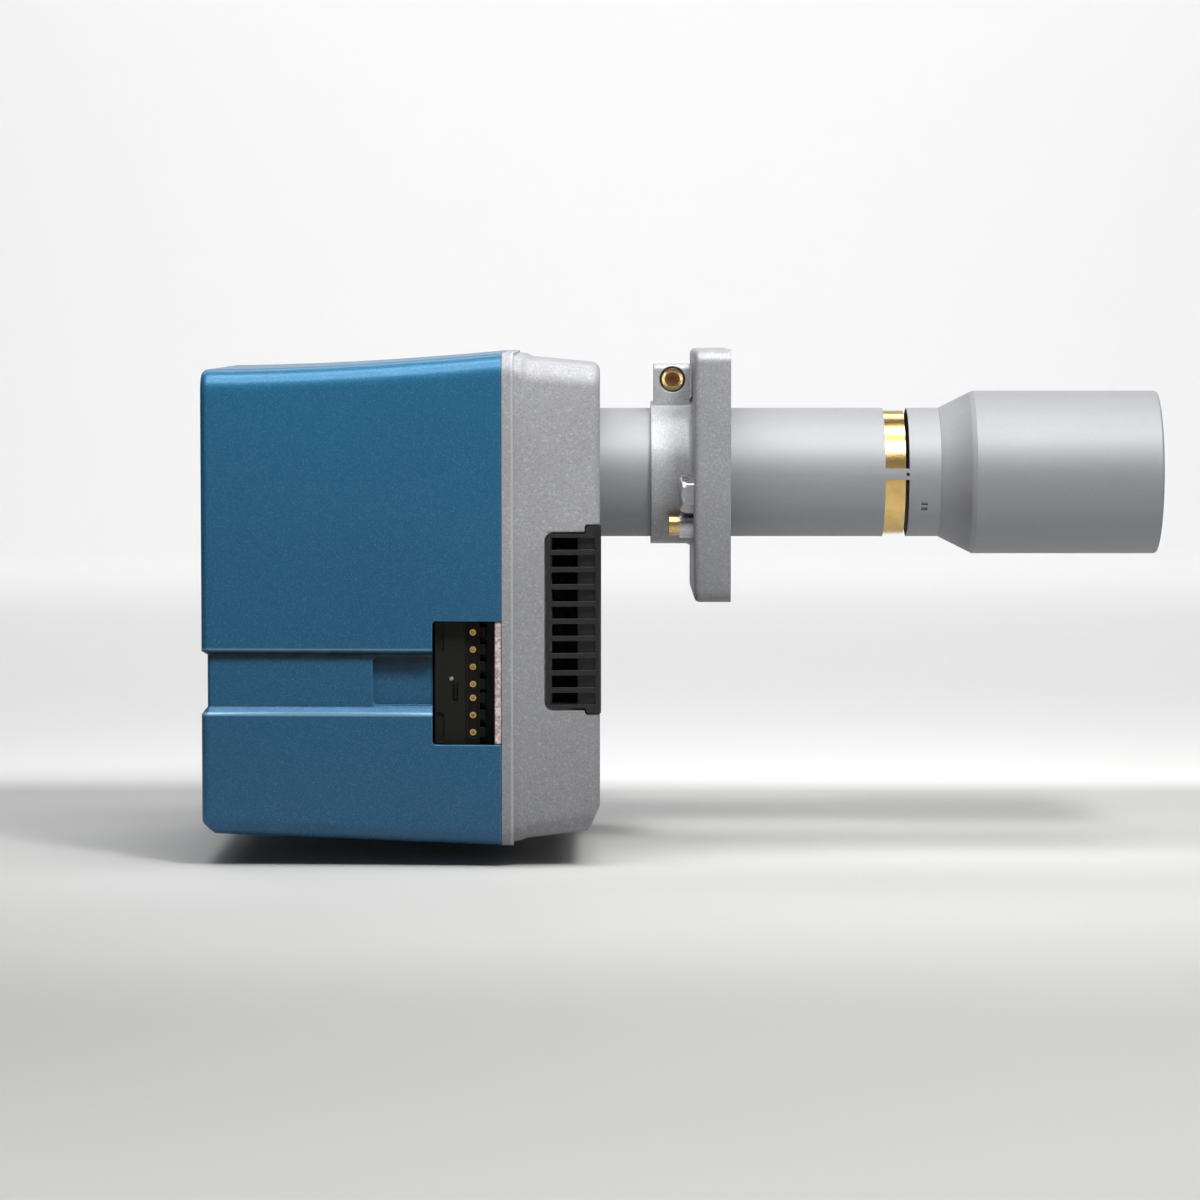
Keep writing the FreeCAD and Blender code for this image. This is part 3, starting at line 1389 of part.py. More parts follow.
def make_reset_button():
    button = box(button_x - button_half, button_x + button_half, panel_y - 1.0, panel_y + 10,
                 button_bottom, button_top)
    return button.makeFillet(0.6, [e for e in button.Edges if e.BoundBox.YMax < panel_y - 0.9])


def make_status_lamp():
    return turned_y([
        (panel_y - 0.8, 0), (panel_y - 0.4, lamp_r * 0.8), (panel_y, lamp_r), (panel_y + 7, lamp_r),
        (panel_y + 7, 0),
    ], lamp_x, lamp_z)


def turned_y(profile, x, z):
    """A turned part about the line along Y at x, z; the profile's points are (y, radius)."""
    points = [vec(r, y, 0) for y, r in profile]
    solid = Part.Face(Part.makePolygon(points + points[:1])).revolve(vec(0, 0, 0), vec(0, 1, 0), 360)
    solid.translate(vec(x, 0, z))
    return solid


def contact_heights():
    """Four contacts above a coding gap and three below it."""
    heights = []
    z = contact_top
    for k in range(7):
        heights.append(z)
        z -= contact_gap if k == 3 else contact_pitch
    return heights


def make_plug_socket():
    """Socket with seven contact holes in a round-ended recess, and a coding tooth beside each."""
    heights = contact_heights()
    teeth = [box(socket_rear_x, socket_front_x - 4, panel_y, base_y, window_bottom - 1, window_top + 1)]
    for z in heights:
        teeth.append(box(socket_front_x - 4.5, socket_front_x, panel_y + 1.5, base_y,
                         z - coding_tooth / 2, z + coding_tooth / 2))
    body = fuse(teeth)
    floor_y = panel_y + contact_recess
    recess = [
        box(contact_x - contact_recess_half, contact_x + contact_recess_half, panel_y - 1, floor_y,
            heights[-1], heights[0]),
        rod_y(contact_recess_half, panel_y - 1, floor_y, contact_x, heights[0]),
        rod_y(contact_recess_half, panel_y - 1, floor_y, contact_x, heights[-1]),
    ]
    for cutter in recess + [rod_y(contact_r, panel_y - 1, panel_y + 14, contact_x, z) for z in heights]:
        body = body.cut(cutter)
    return body


def make_socket_contacts():
    contacts = []
    for z in contact_heights():
        sleeve = rod_y(contact_r, panel_y + contact_recess - 0.5, panel_y + 13, contact_x, z)
        contacts.append(sleeve.cut(rod_y(contact_hole, panel_y - 2, panel_y + 11, contact_x, z)))
    return contacts


def make_transformer():
    seat_x = parting_x - transformer_foot
    body = box(transformer_rear_x, seat_x, transformer_y0, transformer_y1, transformer_z0, transformer_z1)
    rounds = [e for e in body.Edges if e.BoundBox.XMax < seat_x - 0.5 or e.BoundBox.XLength > 20]
    body = body.makeFillet(4.0, rounds)
    foot = box(seat_x, parting_x, transformer_y0 + 2, transformer_y1 - 2,
               transformer_z0 - 12, transformer_z1 + 12)
    foot = foot.makeFillet(5.0, [e for e in foot.Edges if 2 < e.BoundBox.XLength < 4])
    outlets = []
    for x in outlet_places:
        outlets.append(rod_y(6.5, transformer_y0 - 14, transformer_y0 + 1, x, transformer_z0 + 22))
    body = fuse([body, foot] + outlets)
    for x in outlet_places:
        body = body.cut(rod_y(2.5, transformer_y0 - 15, transformer_y0 - 2, x, transformer_z0 + 22))
    for z in (transformer_z0 - 6, transformer_z1 + 6):
        for y in (transformer_y0 + 10, transformer_y1 - 10):
            body = body.cut(rod_x(2.2, parting_x - 4, parting_x + 1, y, z))
    return body


def make_transformer_screws():
    screws = []
    for z in (transformer_z0 - 6, transformer_z1 + 6):
        for y in (transformer_y0 + 10, transformer_y1 - 10):
            seat_x = parting_x - transformer_foot
            head = rod_x(3.6, seat_x - 2.6, seat_x, y, z)
            screws.append(head.fuse(rod_x(2.0, seat_x, parting_x, y, z)))
    return screws


def main():
    pump_cover, pump_cover_screws = make_pump_cover()
    socket_screws = make_tube_screws() + make_base_screws() + make_motor_screws() + make_service_screws()
    nodes = [
        ("clamp_flange", make_flange()),
        ("clamp_screw", make_clamp_screw()),
        ("clamp_nut", make_clamp_nut()),
        ("flange_hex_plug", make_flange_plug()),
        ("flange_stop_collar", make_stop_collar()),
        ("flange_stop_screw", make_stop_screw()),
        ("blast_tube", make_blast_tube()),
        ("flame_tube", make_flame_tube()),
        ("housing", make_housing()),
        ("intake_grille", make_grille()),
        ("rear_cover", make_cover()),
        ("cover_pillars", make_pillars()),
        ("cover_screws", make_cover_screws()),
        ("foam_strip", make_foam_strip()),
        ("base_plate", make_base_plate()),
        ("socket_screws", socket_screws),
        ("inlet_ring", make_inlet_ring()),
        ("damper_shaft", make_damper_shaft()),
        ("damper_flap", make_damper_flap()),
        ("damper_knob", make_damper_knob()),
        ("fan_wheel", make_fan()),
        ("fan_grub_screw", make_fan_screw()),
        ("motor_front_shield", make_motor_front_shield()),
        ("motor_can", make_motor_can()),
        ("motor_capacitor", make_capacitor()),
        ("motor_rear_shield", make_motor_rear_shield()),
        ("bearing_outer_races", make_bearings()),
        ("bearing_inner_races", make_bearing_inners()),
        ("motor_stator", make_stator()),
        ("motor_rotor", make_rotor()),
        ("shaft_coupling", make_coupling()),
        ("pump_shaft", make_pump_shaft()),
        ("pump_body", make_pump_body()),
        ("pump_cover", pump_cover),
        ("pan_head_screws", pump_cover_screws + make_transformer_screws()),
        ("pump_port_fittings", make_port_fittings()),
        ("valve_stem", make_valve_stem()),
        ("valve_coil", make_valve_coil()),
        ("oil_line", make_oil_line()),
        ("oil_line_nuts", make_line_nuts()),
        ("service_cover", make_service_cover()),
        ("flame_sensor", make_flame_sensor()),
        ("sight_glass", make_sight_glass()),
        ("nozzle_rod", make_nozzle_rod()),
        ("oil_preheater", make_preheater()),
        ("nozzle", make_nozzle()),
        ("electrode_insulators", make_insulators()),
        ("electrodes", make_electrodes()),
        ("electrode_clamp", make_electrode_clamp()),
        ("mixing_disc", make_mixing_disc()),
        ("mixing_disc_holder", make_disc_holder()),
        ("recirculation_ring", make_brass_ring()),
        ("control_bracket", make_control_bracket()),
        ("control_base", make_control_base()),
        ("burner_control", make_control()),
        ("plug_socket", make_plug_socket()),
        ("socket_contacts", make_socket_contacts()),
        ("ignition_transformer", make_transformer()),
        ("reset_button", make_reset_button()),
        ("status_lamp", make_status_lamp()),
    ]
    for name, shape in nodes:
        export(name, shape)


main()
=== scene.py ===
# %% [markdown]
# # A small oil burner, dressed for its portrait
# The burner is already built as solid pieces that fit and move. This notebook gives every piece its finish,
# adds the fine surfaces that a solid modeller leaves plain, and sets up the light and the camera. Lengths
# are in metres. X runs along the blast tube toward the flame, Z is up, and the camera stands on the -Y
# side.

# %% Load the frame
import math

import bmesh
import bpy
import numpy as np
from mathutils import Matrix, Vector


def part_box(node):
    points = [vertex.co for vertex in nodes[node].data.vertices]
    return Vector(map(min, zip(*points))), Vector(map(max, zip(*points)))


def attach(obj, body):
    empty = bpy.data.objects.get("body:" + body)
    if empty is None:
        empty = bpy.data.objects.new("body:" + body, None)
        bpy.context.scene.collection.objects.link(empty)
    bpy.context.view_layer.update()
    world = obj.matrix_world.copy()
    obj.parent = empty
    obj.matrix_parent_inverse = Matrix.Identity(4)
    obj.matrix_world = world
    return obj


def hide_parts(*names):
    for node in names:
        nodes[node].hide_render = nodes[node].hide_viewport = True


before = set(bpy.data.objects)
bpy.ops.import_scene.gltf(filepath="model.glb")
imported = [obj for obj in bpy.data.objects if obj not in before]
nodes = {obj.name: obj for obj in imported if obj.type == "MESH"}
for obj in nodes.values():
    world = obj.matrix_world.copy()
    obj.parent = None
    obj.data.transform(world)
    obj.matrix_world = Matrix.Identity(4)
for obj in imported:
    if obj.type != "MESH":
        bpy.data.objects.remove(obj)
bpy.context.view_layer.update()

MM = 0.001
MICRON = 0.001 * MM
print("solid pieces:", len(nodes))

# %% [markdown]
# The camera comes first, because everything after it is judged through it. The picture was taken from the
# side, with a long lens and from just above the tube: the housing's front face is seen edge on, so the lens
# stands straight beside it. The tube is 90 mm wide and covers 128 of the picture's 1200 pixels, which fixes
# the focal length once the distance is chosen.

# %% Camera
PICTURE_PIXELS = 1200
TUBE_PIXELS = 128
TUBE_WIDTH = 90 * MM
CAMERA_DISTANCE = 3.2
CAMERA_ABOVE_TUBE = 112 * MM
AIM_BELOW_TUBE = 90 * MM
HOUSING_FRONT_X = -89.5 * MM
SENSOR_MM = 36.0

view_width = PICTURE_PIXELS * TUBE_WIDTH / TUBE_PIXELS
camera_data = bpy.data.cameras.new("side_camera")
camera_data.sensor_width = SENSOR_MM
slant = math.hypot(CAMERA_DISTANCE, CAMERA_ABOVE_TUBE + AIM_BELOW_TUBE)
camera_data.lens = SENSOR_MM * slant / view_width
camera = bpy.data.objects.new("side_camera", camera_data)
bpy.context.scene.collection.objects.link(camera)
camera.location = (HOUSING_FRONT_X, -CAMERA_DISTANCE, CAMERA_ABOVE_TUBE)
aim = Vector((HOUSING_FRONT_X, 0, -AIM_BELOW_TUBE))
camera.rotation_euler = (aim - camera.location).to_track_quat("-Z", "Y").to_euler()
bpy.context.scene.camera = camera
print("lens", round(camera_data.lens, 1), "mm")

# %% [markdown]
# A finish is a small graph of nodes. Written out node by node it is hard to read, so one class stands for a
# socket and turns ordinary sums into Math nodes, and another stands for the material. Numbers that never
# change are set on the shader's own sockets, and only what varies over the surface is linked. A pattern's
# scale counts its cells or waves per metre.

# %% Shader maths as Python expressions
BEVEL_SAMPLES = 4
SKY_SAMPLES = 6
OPEN_SKY = (0.94, 0.60)
EDGE_LEAN = (0.985, 0.80)


class Signal:
    """A node's output socket that can be used in a sum; each operator adds one Math node."""

    def __init__(self, finish, socket):
        self.finish = finish
        self.socket = socket

    def maths(self, operation, first, second=None):
        return self.finish.maths(operation, first, second)

    def __add__(self, other):
        return self.maths("ADD", self, other)

    def __sub__(self, other):
        return self.maths("SUBTRACT", self, other)

    def __rsub__(self, other):
        return self.maths("SUBTRACT", other, self)

    def __mul__(self, other):
        return self.maths("MULTIPLY", self, other)

    def __pow__(self, other):
        return self.maths("POWER", self, other)


class Finish:
    """One material: a Principled shader and the nodes that feed it."""

    def __init__(self, name, slot, **constants):
        self.slot = slot
        self.material = bpy.data.materials.new(name)
        self.material.use_nodes = True
        self.tree = self.material.node_tree
        self.shader = self.tree.nodes["Principled BSDF"]
        for key, value in constants.items():
            self.constant(key.replace("_", " "), value)
        self.place = self.node("ShaderNodeTexCoord", output="Object")

    def constant(self, socket, value):
        self.shader.inputs[socket].default_value = value

    def node(self, kind, settings=None, inputs=None, output=0):
        """Add a node: its settings first, then the values or links of its sockets."""
        made = self.tree.nodes.new(kind)
        for key, value in (settings or {}).items():
            setattr(made, key, value)
        for key, value in (inputs or {}).items():
            if isinstance(value, Signal):
                self.tree.links.new(value.socket, made.inputs[key])
            else:
                made.inputs[key].default_value = value
        return Signal(self, made.outputs[output])

    def maths(self, operation, first, second=None):
        values = {0: first} if second is None else {0: first, 1: second}
        return self.node("ShaderNodeMath", {"operation": operation}, values)

    def scaled(self, colour, share):
        """A colour multiplied by a number."""
        return self.node("ShaderNodeVectorMath", {"operation": "SCALE"}, {0: colour, "Scale": share})

    def clamped(self, signal):
        return self.node("ShaderNodeClamp", None, {0: signal})

    def feed(self, socket, signal):
        self.tree.links.new(signal.socket, self.shader.inputs[socket])

    def noise(self, scale, detail=3.0, rough=0.55, at=None):
        inputs = {"Vector": at or self.place, "Scale": scale, "Detail": detail, "Roughness": rough}
        return self.node("ShaderNodeTexNoise", None, inputs, "Fac")

    def cells(self, scale):
        """A random number from 0 to 1 in each cell of a Voronoi pattern."""
        colour = self.node("ShaderNodeTexVoronoi", None, {"Vector": self.place, "Scale": scale}, "Color")
        return self.node("ShaderNodeSeparateColor", None, {0: colour})

    def stretched(self, x, y, z):
        """Object coordinates scaled along each axis, which draws a pattern out into streaks."""
        return self.node("ShaderNodeMapping", None, {"Vector": self.place, "Scale": (x, y, z)})

    def across_x(self):
        """Distance from the X axis: the root of y squared plus z squared."""
        return (self.along("Y") ** 2 + self.along("Z") ** 2) ** 0.5

    def along(self, axis):
        return self.node("ShaderNodeSeparateXYZ", None, {0: self.place}, axis)

    def within(self, axis, limits):
        """0 at the first of two places along an axis and 1 at the second, held beyond both."""
        return self.span(self.along(axis), *limits)

    def line(self, axis, place, widths):
        """1 on the plane where an axis reaches a place, fading to 0 between two distances from it."""
        return self.span(self.maths("ABSOLUTE", self.along(axis) - place), *widths)

    def span(self, signal, low, high, low_out=0.0, high_out=1.0):
        """Carry the range low..high of a value to low_out..high_out, held at both ends."""
        inputs = {"Value": signal, "From Min": low, "From Max": high, "To Min": low_out, "To Max": high_out}
        return self.node("ShaderNodeMapRange", None, inputs)

    def mix(self, factor, first, second):
        """Blend two colours, each a triple or a Signal."""
        def colour(value):
            return value if isinstance(value, Signal) else (*value, 1.0)
        inputs = {0: factor, 6: colour(first), 7: colour(second)}
        return self.node("ShaderNodeMix", {"data_type": "RGBA"}, inputs, 2)

    def rounded(self, radius):
        """The surface's normal as it would be with its sharp edges rounded to this radius."""
        return self.node("ShaderNodeBevel", {"samples": BEVEL_SAMPLES}, {"Radius": radius})

    def crevices(self, reach):
        """0 on open surfaces and 1 deep in a corner: how much of the sky within reach is hidden."""
        settings = {"samples": SKY_SAMPLES, "only_local": True}
        open_sky = self.node("ShaderNodeAmbientOcclusion", settings, {"Distance": reach}, "AO")
        return self.span(open_sky, *OPEN_SKY)

    def edges(self, rounded):
        """0 on open surfaces and 1 on edges: the rounded normal leans away from the plain one there."""
        plain = self.node("ShaderNodeNewGeometry", output="Normal")
        vectors = {0: rounded, 1: plain}
        lean = self.node("ShaderNodeVectorMath", {"operation": "DOT_PRODUCT"}, vectors, "Value")
        return self.span(lean, *EDGE_LEAN)

    def bump(self, height, depth, strength=1.0, after=None):
        inputs = {"Height": height, "Distance": depth, "Strength": strength}
        if after:
            inputs["Normal"] = after
        return self.node("ShaderNodeBump", None, inputs)


def wear(finish, names):
    """Give a finish to CAD pieces, in place of what they came with."""
    for name in names:
        mesh = nodes[name].data
        mesh.materials.clear()
        mesh.materials.append(finish.material)


print("shader classes ready")

# %% [markdown]
# The cover is sprayed in a deep blue with a fine metallic fleck under a satin lacquer. Flecks are tiny flat
# cells that each catch the light a little differently, so a Voronoi pattern of about 0.4 mm gives each cell
# its own brightness. A broad, weak noise keeps the large panel from looking like one flat colour, and the
# blue is painted lighter towards the top, as painted light from above. Lacquer draws back from an edge as it
# dries, and the edges also carry a painted highlight, so the moulded lips are a little rounder and paler than
# the panels. A Bevel node rounds the normal there, and where that normal leans away from the plain one, the
# paler blue shows. A narrow pale line of painted highlight follows each of the groove's two lips.

# %% Blue fleck paint
BLUE_DEEP = (0.016, 0.082, 0.178)
BLUE_LIT = (0.006, 0.140, 0.270)
BLUE_THIN_AND_HIGHLIT = (0.10, 0.28, 0.42)
BLUE_LIP_HIGHLIGHT = (0.26, 0.48, 0.62)
SPARKLE = (0.30, 0.46, 0.56)
PAINTED_SHADE_BLUE = (0.004, 0.012, 0.022)
FLECK_SCALE = 2600.0
BROAD_SCALE = 7.0
WEAR_SCALE = 35.0
GLOSS_SCALE = 60.0
SHADE_PATCH_SCALE = 90.0
PEEL_SCALE = 520.0
PEEL_DEPTH = 40 * MICRON
FLECK_DEPTH = 20 * MICRON
COVER_Z = (-250 * MM, 85 * MM)
COVER_EDGE = 1.4 * MM
SHADE_REACH = 9 * MM
LIP_SHADE_Z = (-137 * MM, -123 * MM)
GRIP_FLOOR_Y = (-134.0 * MM, -132.5 * MM)
GRIP_X = (-246 * MM, -243 * MM)
GROOVE_FLOOR_Y = (-144.9 * MM, -143.9 * MM)
GROOVE_SHADE_Z = (-124 * MM, -119.5 * MM)
NEAR_SIDE_Y = (-118 * MM, -121 * MM)
LIP_Z = (-114.5 * MM, -115.5 * MM)
UPPER_LIP_Z = -115.2 * MM
LOWER_LIP_Z = -158.4 * MM
LIP_LINE = (1.6 * MM, 0.5 * MM)

paint = Finish("cover_blue_fleck", "cover_blue", Metallic=0.35, Coat_Weight=0.22, Coat_Roughness=0.16,
               IOR=1.4)
fleck = paint.cells(FLECK_SCALE)
broad = paint.noise(BROAD_SCALE, 2.0)
# Painted light: the blue is lighter towards the top, where the light falls.
painted_top_light = paint.span(paint.along("Z"), *COVER_Z, 0.0, 0.65)
tone = paint.mix(painted_top_light * 0.8 + broad * 0.35, BLUE_DEEP, BLUE_LIT)
lacquer = paint.mix(paint.span(fleck, 0.80, 1.0, 0.0, 0.22), tone, SPARKLE)
soft_edge = paint.rounded(COVER_EDGE)
# The paler edge is thinned lacquer and painted highlight together.
thin = paint.edges(soft_edge) * paint.span(paint.noise(WEAR_SCALE, 4.0), 0.35, 0.65, 0.5, 0.95)
near_side = paint.within("Y", NEAR_SIDE_Y)
# Painted highlights: a narrow pale line along each lip of the groove, on the near side.
upper_lip_highlight = paint.line("Z", UPPER_LIP_Z, LIP_LINE)
lower_lip_highlight = paint.line("Z", LOWER_LIP_Z, LIP_LINE)
rubbed = near_side * (upper_lip_highlight * 0.5 + lower_lip_highlight * 0.8)
worn = paint.mix(rubbed, paint.mix(thin, lacquer, BLUE_THIN_AND_HIGHLIT), BLUE_LIP_HIGHLIGHT)
print("lacquer mixed")

# %% [markdown]
# Painted shade darkens the places that the light from above doesn't reach: under the groove's upper lip and
# at the top of the grip. Those places are found by how much of the sky is hidden from them, by their height,
# and by how deep they lie. A weak noise makes the painted shade patchy.

# %% Painted shade in the cover's hollows
below_lip = near_side * paint.within("Z", LIP_Z)
in_grip = below_lip * (paint.within("Y", GRIP_FLOOR_Y) * paint.within("X", GRIP_X))
in_groove = below_lip * (paint.within("Y", GROOVE_FLOOR_Y) * paint.within("Z", GROOVE_SHADE_Z))
# Painted shade: the colour is pulled to near black where the sky is hidden, under the lip and in the grip.
hidden = paint.clamped(paint.crevices(SHADE_REACH) + in_grip + in_groove * 0.9)
patchy = paint.span(paint.noise(SHADE_PATCH_SCALE, 4.0), 0.3, 0.7, 0.85, 1.0)
painted_shade = hidden * paint.within("Z", LIP_SHADE_Z) * patchy
peel = paint.bump(paint.noise(PEEL_SCALE, 2.0), PEEL_DEPTH, 0.35, soft_edge)
paint.feed("Base Color", paint.mix(painted_shade, worn, PAINTED_SHADE_BLUE))
paint.feed("Roughness", paint.span(paint.noise(GLOSS_SCALE, 4.0), 0.2, 0.8, 0.36, 0.46))
paint.feed("Normal", paint.bump(fleck, FLECK_DEPTH, 0.25, peel))
wear(paint, ["rear_cover"])
print("painted rear_cover")

# %% [markdown]
# The casting and the flange carry a grey powder coat. Baked powder is never quite smooth: it has a fine
# orange peel, and this one has darker and lighter grains in it. Two sizes of Voronoi cells make the grains,
# and a noise of about a millimetre makes the peel. Powder thins out on edges too, so they are rounded and
# lightened as the cover's are. Painted shade darkens both coats towards the bottom. A pale line of painted
# highlight follows the casting's rim beside the cover, and the clamp ring is a little paler than the
# flange's plate.

# %% Grey powder coats
CASTING_GREY = (0.315, 0.318, 0.336)
FLANGE_GREY = (0.318, 0.322, 0.340)
SMALL_GRAINS = 1500.0
LARGE_GRAINS = 700.0
POWDER_PEEL_SCALE = 900.0
POWDER_PEEL_DEPTH = 120 * MICRON
GRAIN_DEPTH = 30 * MICRON
POWDER_EDGE = 1.2 * MM
CASTING_SHADE_Z = (-230 * MM, -50 * MM)
FLANGE_SHADE_Z = (-85 * MM, 10 * MM)
RIM_HIGHLIGHT_X = -148.6 * MM
RIM_HIGHLIGHT_LINE = (1.3 * MM, 0.4 * MM)
RING_LIGHT_X = (-26.2 * MM, -25.0 * MM)
RING_LIGHT = 1.22


def paler(base):
    """The tone of powder on an edge, where it lies thin."""
    return tuple(min(1.0, 1.55 * c) for c in base)


def powder_coat(name, slot, base, grain, rough, metal, low_shade_z, low_shade):
    """Speckled grey: two cell patterns pull the base colour to dark and light, and painted shade darkens it
    low down. It returns the material, its colour, and how much of the coat's paler edge shows."""
    coat = Finish(name, slot, Metallic=metal, IOR=1.45)
    small = coat.cells(SMALL_GRAINS * grain)
    large = coat.cells(LARGE_GRAINS * grain)
    dark = tuple(0.55 * c for c in base)
    cloudy = coat.span(coat.noise(12.0, 3.0), 0.3, 0.7, 0.93, 1.07)
    # Painted shade: the coat is darker towards the bottom.
    shaded_low = coat.span(coat.along("Z"), *low_shade_z, low_shade, 1.0)
    shade = coat.mix(coat.span(small, 0.55, 1.0, 0.0, 0.55), base, dark)
    shade = coat.mix(coat.span(large, 0.80, 1.0, 0.0, 0.38), shade, paler(base))
    soft_edge = coat.rounded(POWDER_EDGE)
    coat.feed("Roughness", coat.span(small, 0.0, 1.0, rough - 0.06, rough + 0.08))
    peel = coat.bump(coat.noise(POWDER_PEEL_SCALE * grain, 3.0), POWDER_PEEL_DEPTH, 0.5, soft_edge)
    coat.feed("Normal", coat.bump(large, GRAIN_DEPTH, 0.3, peel))
    return coat, coat.scaled(shade, cloudy * shaded_low), coat.edges(soft_edge) * 0.45


casting, shade, worn = powder_coat("casting_grey_powder", "casting_grey", CASTING_GREY, 1.0, 0.55, 0.10,
                                   CASTING_SHADE_Z, 0.74)
# Painted highlight: a pale line where the casting's rim steps up beside the cover.
rim_highlight = casting.line("X", RIM_HIGHLIGHT_X, RIM_HIGHLIGHT_LINE) * 0.45
casting.feed("Base Color", casting.mix(worn + rim_highlight, shade, paler(CASTING_GREY)))
flange, shade, worn = powder_coat("flange_grey_powder", "flange_grey", FLANGE_GREY, 1.2, 0.46, 0.35,
                                  FLANGE_SHADE_Z, 0.68)
ring_light = flange.span(flange.along("X"), *RING_LIGHT_X, RING_LIGHT, 1.0)
flange.feed("Base Color", flange.scaled(flange.mix(worn, shade, paler(FLANGE_GREY)), ring_light))
wear(casting, ["housing"])
wear(flange, ["clamp_flange"])
print("coated housing and clamp_flange")

# %% [markdown]
# The tubes are blasted and heat-proof sprayed steel: pale, nearly even, with a soft sheen and a very fine
# grain. A weak streak along the tube's length keeps the drawn steel underneath in view. Inside, where the
# flame burns, the steel has run to brown and violet: the distance from the tube's axis tells the inner wall
# from the outer one.

# %% Satin steel of the tubes
TUBE_GREY = (0.305, 0.312, 0.328)
FLAME_GREY = (0.285, 0.292, 0.308)
STEEL_ROUGH = 0.60
BLAST_GRAINS = 2200.0
BLAST_DEPTH = 40 * MICRON
BROWN_HEAT = (0.10, 0.075, 0.055)
VIOLET_HEAT = (0.09, 0.085, 0.11)
HEAT_REACH = 50 * MM
HEAT_WANDER = 30 * MM
WALL_FADE = (1.5 * MM, 0.8 * MM)
TUBE_HEAT = (80 * MM, 44.5 * MM)
FLAME_HEAT = (165 * MM, 56.5 * MM)


def satin_steel(name, slot, base, heat_x, heat_radius):
    """Fine cells for the blasted grain, noise drawn out along X, and a heat tint inside, beyond heat_x."""
    steel = Finish(name, slot, Metallic=0.50, IOR=1.5)
    grains = steel.cells(BLAST_GRAINS)
    streak = steel.noise(160.0, 4.0, 0.6, steel.stretched(0.06, 1.0, 1.0))
    dull = steel.noise(18.0, 3.0)
    dark = tuple(0.86 * c for c in base)
    light = tuple(1.12 * c for c in base)
    shade = steel.mix(grains * 0.5 + streak * 0.3 + dull * 0.2, dark, light)
    inside = 1 - steel.span(steel.across_x(), *(heat_radius - fade for fade in WALL_FADE))
    wander = steel.noise(25.0, 4.0) * HEAT_WANDER
    near_flame = steel.span(steel.along("X") + wander, heat_x, heat_x + HEAT_REACH)
    tint = steel.mix(steel.noise(14.0, 3.0), BROWN_HEAT, VIOLET_HEAT)
    steel.feed("Base Color", steel.mix(inside * near_flame * 0.85, shade, tint))
    steel.feed("Roughness", steel.span(grains + dull, 0.3, 1.6, STEEL_ROUGH - 0.05, STEEL_ROUGH + 0.07))
    steel.feed("Normal", steel.bump(grains * 0.6 + streak * 0.4, BLAST_DEPTH, 0.35))
    return steel


wear(satin_steel("blast_tube_satin", "tube_steel", TUBE_GREY, *TUBE_HEAT), ["blast_tube"])
wear(satin_steel("flame_tube_satin", "flame_steel", FLAME_GREY, *FLAME_HEAT), ["flame_tube"])
print("finished the tubes")

# %% [markdown]
# Small metal pieces share five finishes: bright turned steel, polished brass, yellow passivated zinc,
# die-cast aluminium and zinc-plated sheet. One noise lets the colour wander between two tones, which are
# straw and a rosy brown for the yellow zinc, and a finer noise gives the surface its grain.

# %% Small metal finishes
FINER = 14.0


def plain_metal(name, slot, base, second, rough, scale, depth):
    """A metal whose colour wanders between two tones, with a fine grain in its surface."""
    metal = Finish(name, slot, Metallic=1.0)
    wander = metal.noise(scale, 4.0, 0.6)
    fine = metal.noise(scale * FINER, 3.0)
    metal.feed("Base Color", metal.mix(metal.span(wander, 0.35, 0.65), base, second))
    metal.feed("Roughness", metal.span(fine * 0.6 + wander * 0.4, 0.3, 0.7, rough - 0.06, rough + 0.08))
    metal.feed("Normal", metal.bump(fine, depth, 0.4))
    return metal


bright_steel = plain_metal("bright_steel", "bright_steel", (0.60, 0.60, 0.62), (0.50, 0.50, 0.52), 0.28,
                           90.0, 30 * MICRON)
brass = plain_metal("polished_brass", "brass", (0.80, 0.57, 0.24), (0.66, 0.44, 0.15), 0.22,
                    70.0, 20 * MICRON)
yellow_zinc = plain_metal("yellow_zinc", "yellow_zinc", (0.74, 0.55, 0.22), (0.55, 0.34, 0.20), 0.30,
                          260.0, 30 * MICRON)
cast_aluminium = plain_metal("die_cast_aluminium", "cast_aluminium", (0.46, 0.47, 0.48), (0.38, 0.39, 0.40),
                             0.45, 60.0, 100 * MICRON)
zinc_sheet = plain_metal("zinc_sheet", "sheet_steel", (0.52, 0.54, 0.56), (0.42, 0.44, 0.47), 0.36,
                         45.0, 40 * MICRON)
wear(bright_steel, ["clamp_nut", "flange_hex_plug", "flange_stop_collar", "cover_pillars", "cover_screws",
                    "socket_screws", "pan_head_screws", "damper_shaft", "bearing_outer_races",
                    "bearing_inner_races", "motor_rotor", "pump_shaft", "valve_stem", "oil_line",
                    "nozzle_rod", "electrodes"])
wear(brass, ["recirculation_ring", "pump_port_fittings", "oil_line_nuts", "nozzle", "socket_contacts"])
wear(yellow_zinc, ["flange_stop_screw"])
wear(cast_aluminium, ["motor_front_shield", "motor_rear_shield", "pump_body", "pump_cover", "service_cover",
                      "oil_preheater"])
wear(zinc_sheet, ["base_plate", "inlet_ring", "damper_flap", "fan_wheel", "electrode_clamp", "mixing_disc",
                  "mixing_disc_holder", "control_bracket"])
print("finished the small metal pieces")

# %% [markdown]
# The clamp screw is what a fitter turns, so it is looked at closely. Its rim is knurled, a darker cone
# leads into the socket, and red thread lock has crept into the bottom. Distance and angle round the screw's
# own axis place all three: the knurl is a sine of the angle, used as a bump near the rim.

# %% Clamp screw
CLAMP_AXIS = (-39.0 * MM, 65.3 * MM)
KNURL_TEETH = 44.0
KNURL_DEPTH = 0.25 * MM
RIM_RADII = (5.2 * MM, 5.6 * MM)
CONE_RADII = (1.6 * MM, 3.4 * MM)
ZINC_TONES = ((0.80, 0.60, 0.26), (0.58, 0.36, 0.18))
CONE_TONES = ((0.20, 0.12, 0.05), (0.36, 0.24, 0.10))
THREAD_LOCK_TONES = ((0.50, 0.09, 0.04), (0.16, 0.03, 0.02))

